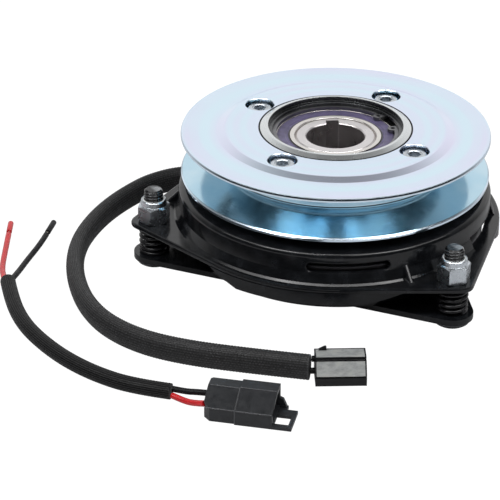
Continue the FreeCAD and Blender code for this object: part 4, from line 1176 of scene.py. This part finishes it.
BLACK_TAIL_ROUTE = [
    (-0.1587, -0.0381, 0.0041), (-0.1568, -0.0290, 0.0025), (-0.1530, -0.0130, 0.0017),
    (-0.1478, 0.0045, 0.0015), (-0.1457, 0.0145, 0.0015),
]
RED_TAIL_ROUTE = [
    (-0.1619, -0.0389, 0.0039), (-0.1634, -0.0315, 0.0027), (-0.1650, -0.0210, 0.0017),
    (-0.1650, -0.0030, 0.0015), (-0.1649, 0.0145, 0.0015),
]
LEAD_HALF_WIDTH = 4.5
LEAD_HALF_HEIGHT = 6.5
ADAPTER_RADIUS = 3.8
WIRE_RADIUS = 1.45
STRANDS_BARE = 2.4
# Where the adapter plug stands in millimetres, and its heading in degrees.
ADAPTER_PLUG = (-61.0, -152.3, -12.5)


def woven(ribs, rib_depth, weave_depth):
    """Relief of a braided sleeve: lengthwise ribs whose yarns pass over and under each other."""
    crossing = 1.5

    def relief(along, around):
        rib = abs(math.cos(around * ribs / 2))
        row = math.floor(around * ribs / TAU)
        weave = math.sin(TAU * along / crossing + math.pi * row)
        return rib_depth * (rib ** 0.7 - 1.0) + weave_depth * (weave - 1.0) * rib
    return relief


def make_sleeve(name, route, radius, ribs, depths, node, material, tall=None):
    """A woven tube along a route's smooth curve, with the gap between ribs painted near black as painted shade."""
    line = resampled(spline_line(route), 0.42 * MM)
    sleeve = tube(name, [point / MM for point in line], radius, 3 * ribs, woven(ribs, *depths), 75.0, tall)
    piece(sleeve, "field", "sleeve_braid", [node], material)
    # The faces in the gap between ribs take a near-black material: painted shade.
    sleeve.data.materials.append(MATERIALS["braid_gap_painted_shade"])
    for face in sleeve.data.polygons:
        if len(face.vertices) == 4 and face.index % 3 == 1:
            face.material_index = 1
    return sleeve, line


def make_wire(name, route, colour, node):
    """A soft insulated wire as a bevelled curve."""
    wire = spline_object(name, route, 16)
    wire.data.bevel_depth = WIRE_RADIUS * MM
    wire.data.bevel_resolution = 6
    wire.data.use_fill_caps = True
    return piece(wire, "field", "wire_" + colour, [node])


def set_on_end(obj, route):
    """Put a mesh built along +Z on the end of a route, in line with it."""
    last = Vector(route[-1])
    direction = (last - Vector(route[-2])).normalized()
    turn = direction.to_track_quat("Z", "Y").to_matrix().to_4x4()
    obj.data.transform(Matrix.Translation(last) @ turn)


def make_strands(name, route):
    """Twisted copper strands laid bare between the wire's end and the loose slug of insulation."""
    low = -0.6
    high = STRANDS_BARE + 0.6
    lines = [helix(0.46, low, high, 0.6, 60 * index, 0.0, 30) for index in range(6)]
    lines.append([(0, 0, low), (0, 0, 0.8), (0, 0, high)])
    whole = joined(name, [tube("strand", line, 0.24, 10) for line in lines])
    set_on_end(whole, route)
    return whole


def make_slug(name, route, length, colour, node):
    """The cut end of insulation still hanging on the strands, with a shallow recess in its far end."""
    end = STRANDS_BARE + length
    slug = lathe(name, [
        (0, STRANDS_BARE), (WIRE_RADIUS, STRANDS_BARE, 0.12), (WIRE_RADIUS, end, 0.15), (0.72, end, 0.08),
        (0.70, end - 0.15), (0, end - 0.15)], 40)
    set_on_end(slug, route)
    return piece(slug, "field", "wire_" + colour, [node])


def make_plug_ribs():
    """Raised lines moulded on the adapter plug: along both long edges and round the shroud's step, in a lighter
    plastic as a painted highlight.
    """
    rib_radius = 0.34
    step_at = 14.75
    edges = ((1.2, 14.6, -8.7, 6.75), (1.2, 14.6, 2.4, 12.05), (14.9, 31.6, -9.4, 7.05),
             (14.9, 31.6, 2.2, 12.6))
    lines = []
    for start, stop, across, height in edges:
        lines.append([(along, across, height) for along in (start, (start + stop) / 2, stop)])
    round_step = ((-9.3, 0.4), (-9.3, 3.5), (-9.3, 7.0), (-3.5, 9.8), (2.2, 12.5))
    lines.append([(step_at, across, height) for across, height in round_step])
    whole = joined("adapter_plug_ribs", [tube("rib", line, rib_radius, 12) for line in lines])
    x, y, heading = ADAPTER_PLUG
    moved(whole, x, y, yaw=heading)
    # The ribs take the lighter plastic: a painted highlight.
    piece(whole, "field", "plug_matte", (), "plug_ridge_painted_highlight")


def make_lead():
    """The clutch's own lead: an oval woven sleeve out to its plug."""
    lead, line = make_sleeve("woven_lead", LEAD_ROUTE, LEAD_HALF_WIDTH, 32, (0.42, 0.09), "lead_sleeve",
                             "sleeve_braid", LEAD_HALF_HEIGHT)
    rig.cord(lead, exit=LEAD_ROUTE[1], length=0.314, diameter=(LEAD_HALF_WIDTH + LEAD_HALF_HEIGHT) * MM,
            far_end="connector", stiffness="medium", lay="loose", path=line,
            with_pieces=["lead_wires", "lead_plug", "lead_plug_terminals"])


def make_adapter():
    """The loose harness: a woven sleeve with two short wires to its plug."""
    adapter, line = make_sleeve("woven_adapter", ADAPTER_ROUTE, ADAPTER_RADIUS, 24, (0.10, 0.05),
                                "adapter_sleeve", "adapter_braid")
    make_wire("black_front", BLACK_FRONT_ROUTE, "black", "adapter_wire_black")
    make_wire("red_front", RED_FRONT_ROUTE, "red", "adapter_wire_red")
    make_plug_ribs()
    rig.cord(adapter, exit=ADAPTER_ROUTE[0], length=0.141, diameter=2 * ADAPTER_RADIUS * MM,
            far_end="connector", stiffness="medium", lay="loose", path=line,
            with_pieces=["adapter_plug", "adapter_plug_terminals"])


def make_tail(colour, route, slug_length):
    """One of the harness's wires, with bare strands and a cut slug of insulation at its end."""
    tail = make_wire(colour + "_tail", route, colour, "adapter_tail_" + colour)
    slug = make_slug(colour + "_slug", route, slug_length, colour, "adapter_slug_" + colour)
    strands = make_strands(colour + "_strands", route)
    piece(strands, "field", "copper", ["adapter_strands"], "terminal_brass")
    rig.cord(tail, exit=route[0], length=0.054, diameter=2 * WIRE_RADIUS * MM, far_end="bare",
            stiffness="limp", lay="loose", with_pieces=[slug, strands])


def make_parts():
    """Everything that belongs to the clutch."""
    dress_nodes()
    make_upper_flange()
    make_lower_flange()
    make_screws()
    make_carrier()
    make_bearing("pulley_bearing", PULLEY_BEARING, "rotor", "pulley")
    make_bearing("field_bearing", FIELD_BEARING, "rotor", "field")
    make_hub()
    make_studs()
    make_nuts()
    make_springs()
    make_fold_fillet()
    make_lead()
    make_adapter()
    make_tail("black", BLACK_TAIL_ROUTE, 11.5)
    make_tail("red", RED_TAIL_ROUTE, 10.0)


make_studio()
make_parts()
with open("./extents.json", "w") as report:
    json.dump({"cad": [list(corner) for corner in cad_box],
               "visual": [list(corner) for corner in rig.bounds()]}, report)
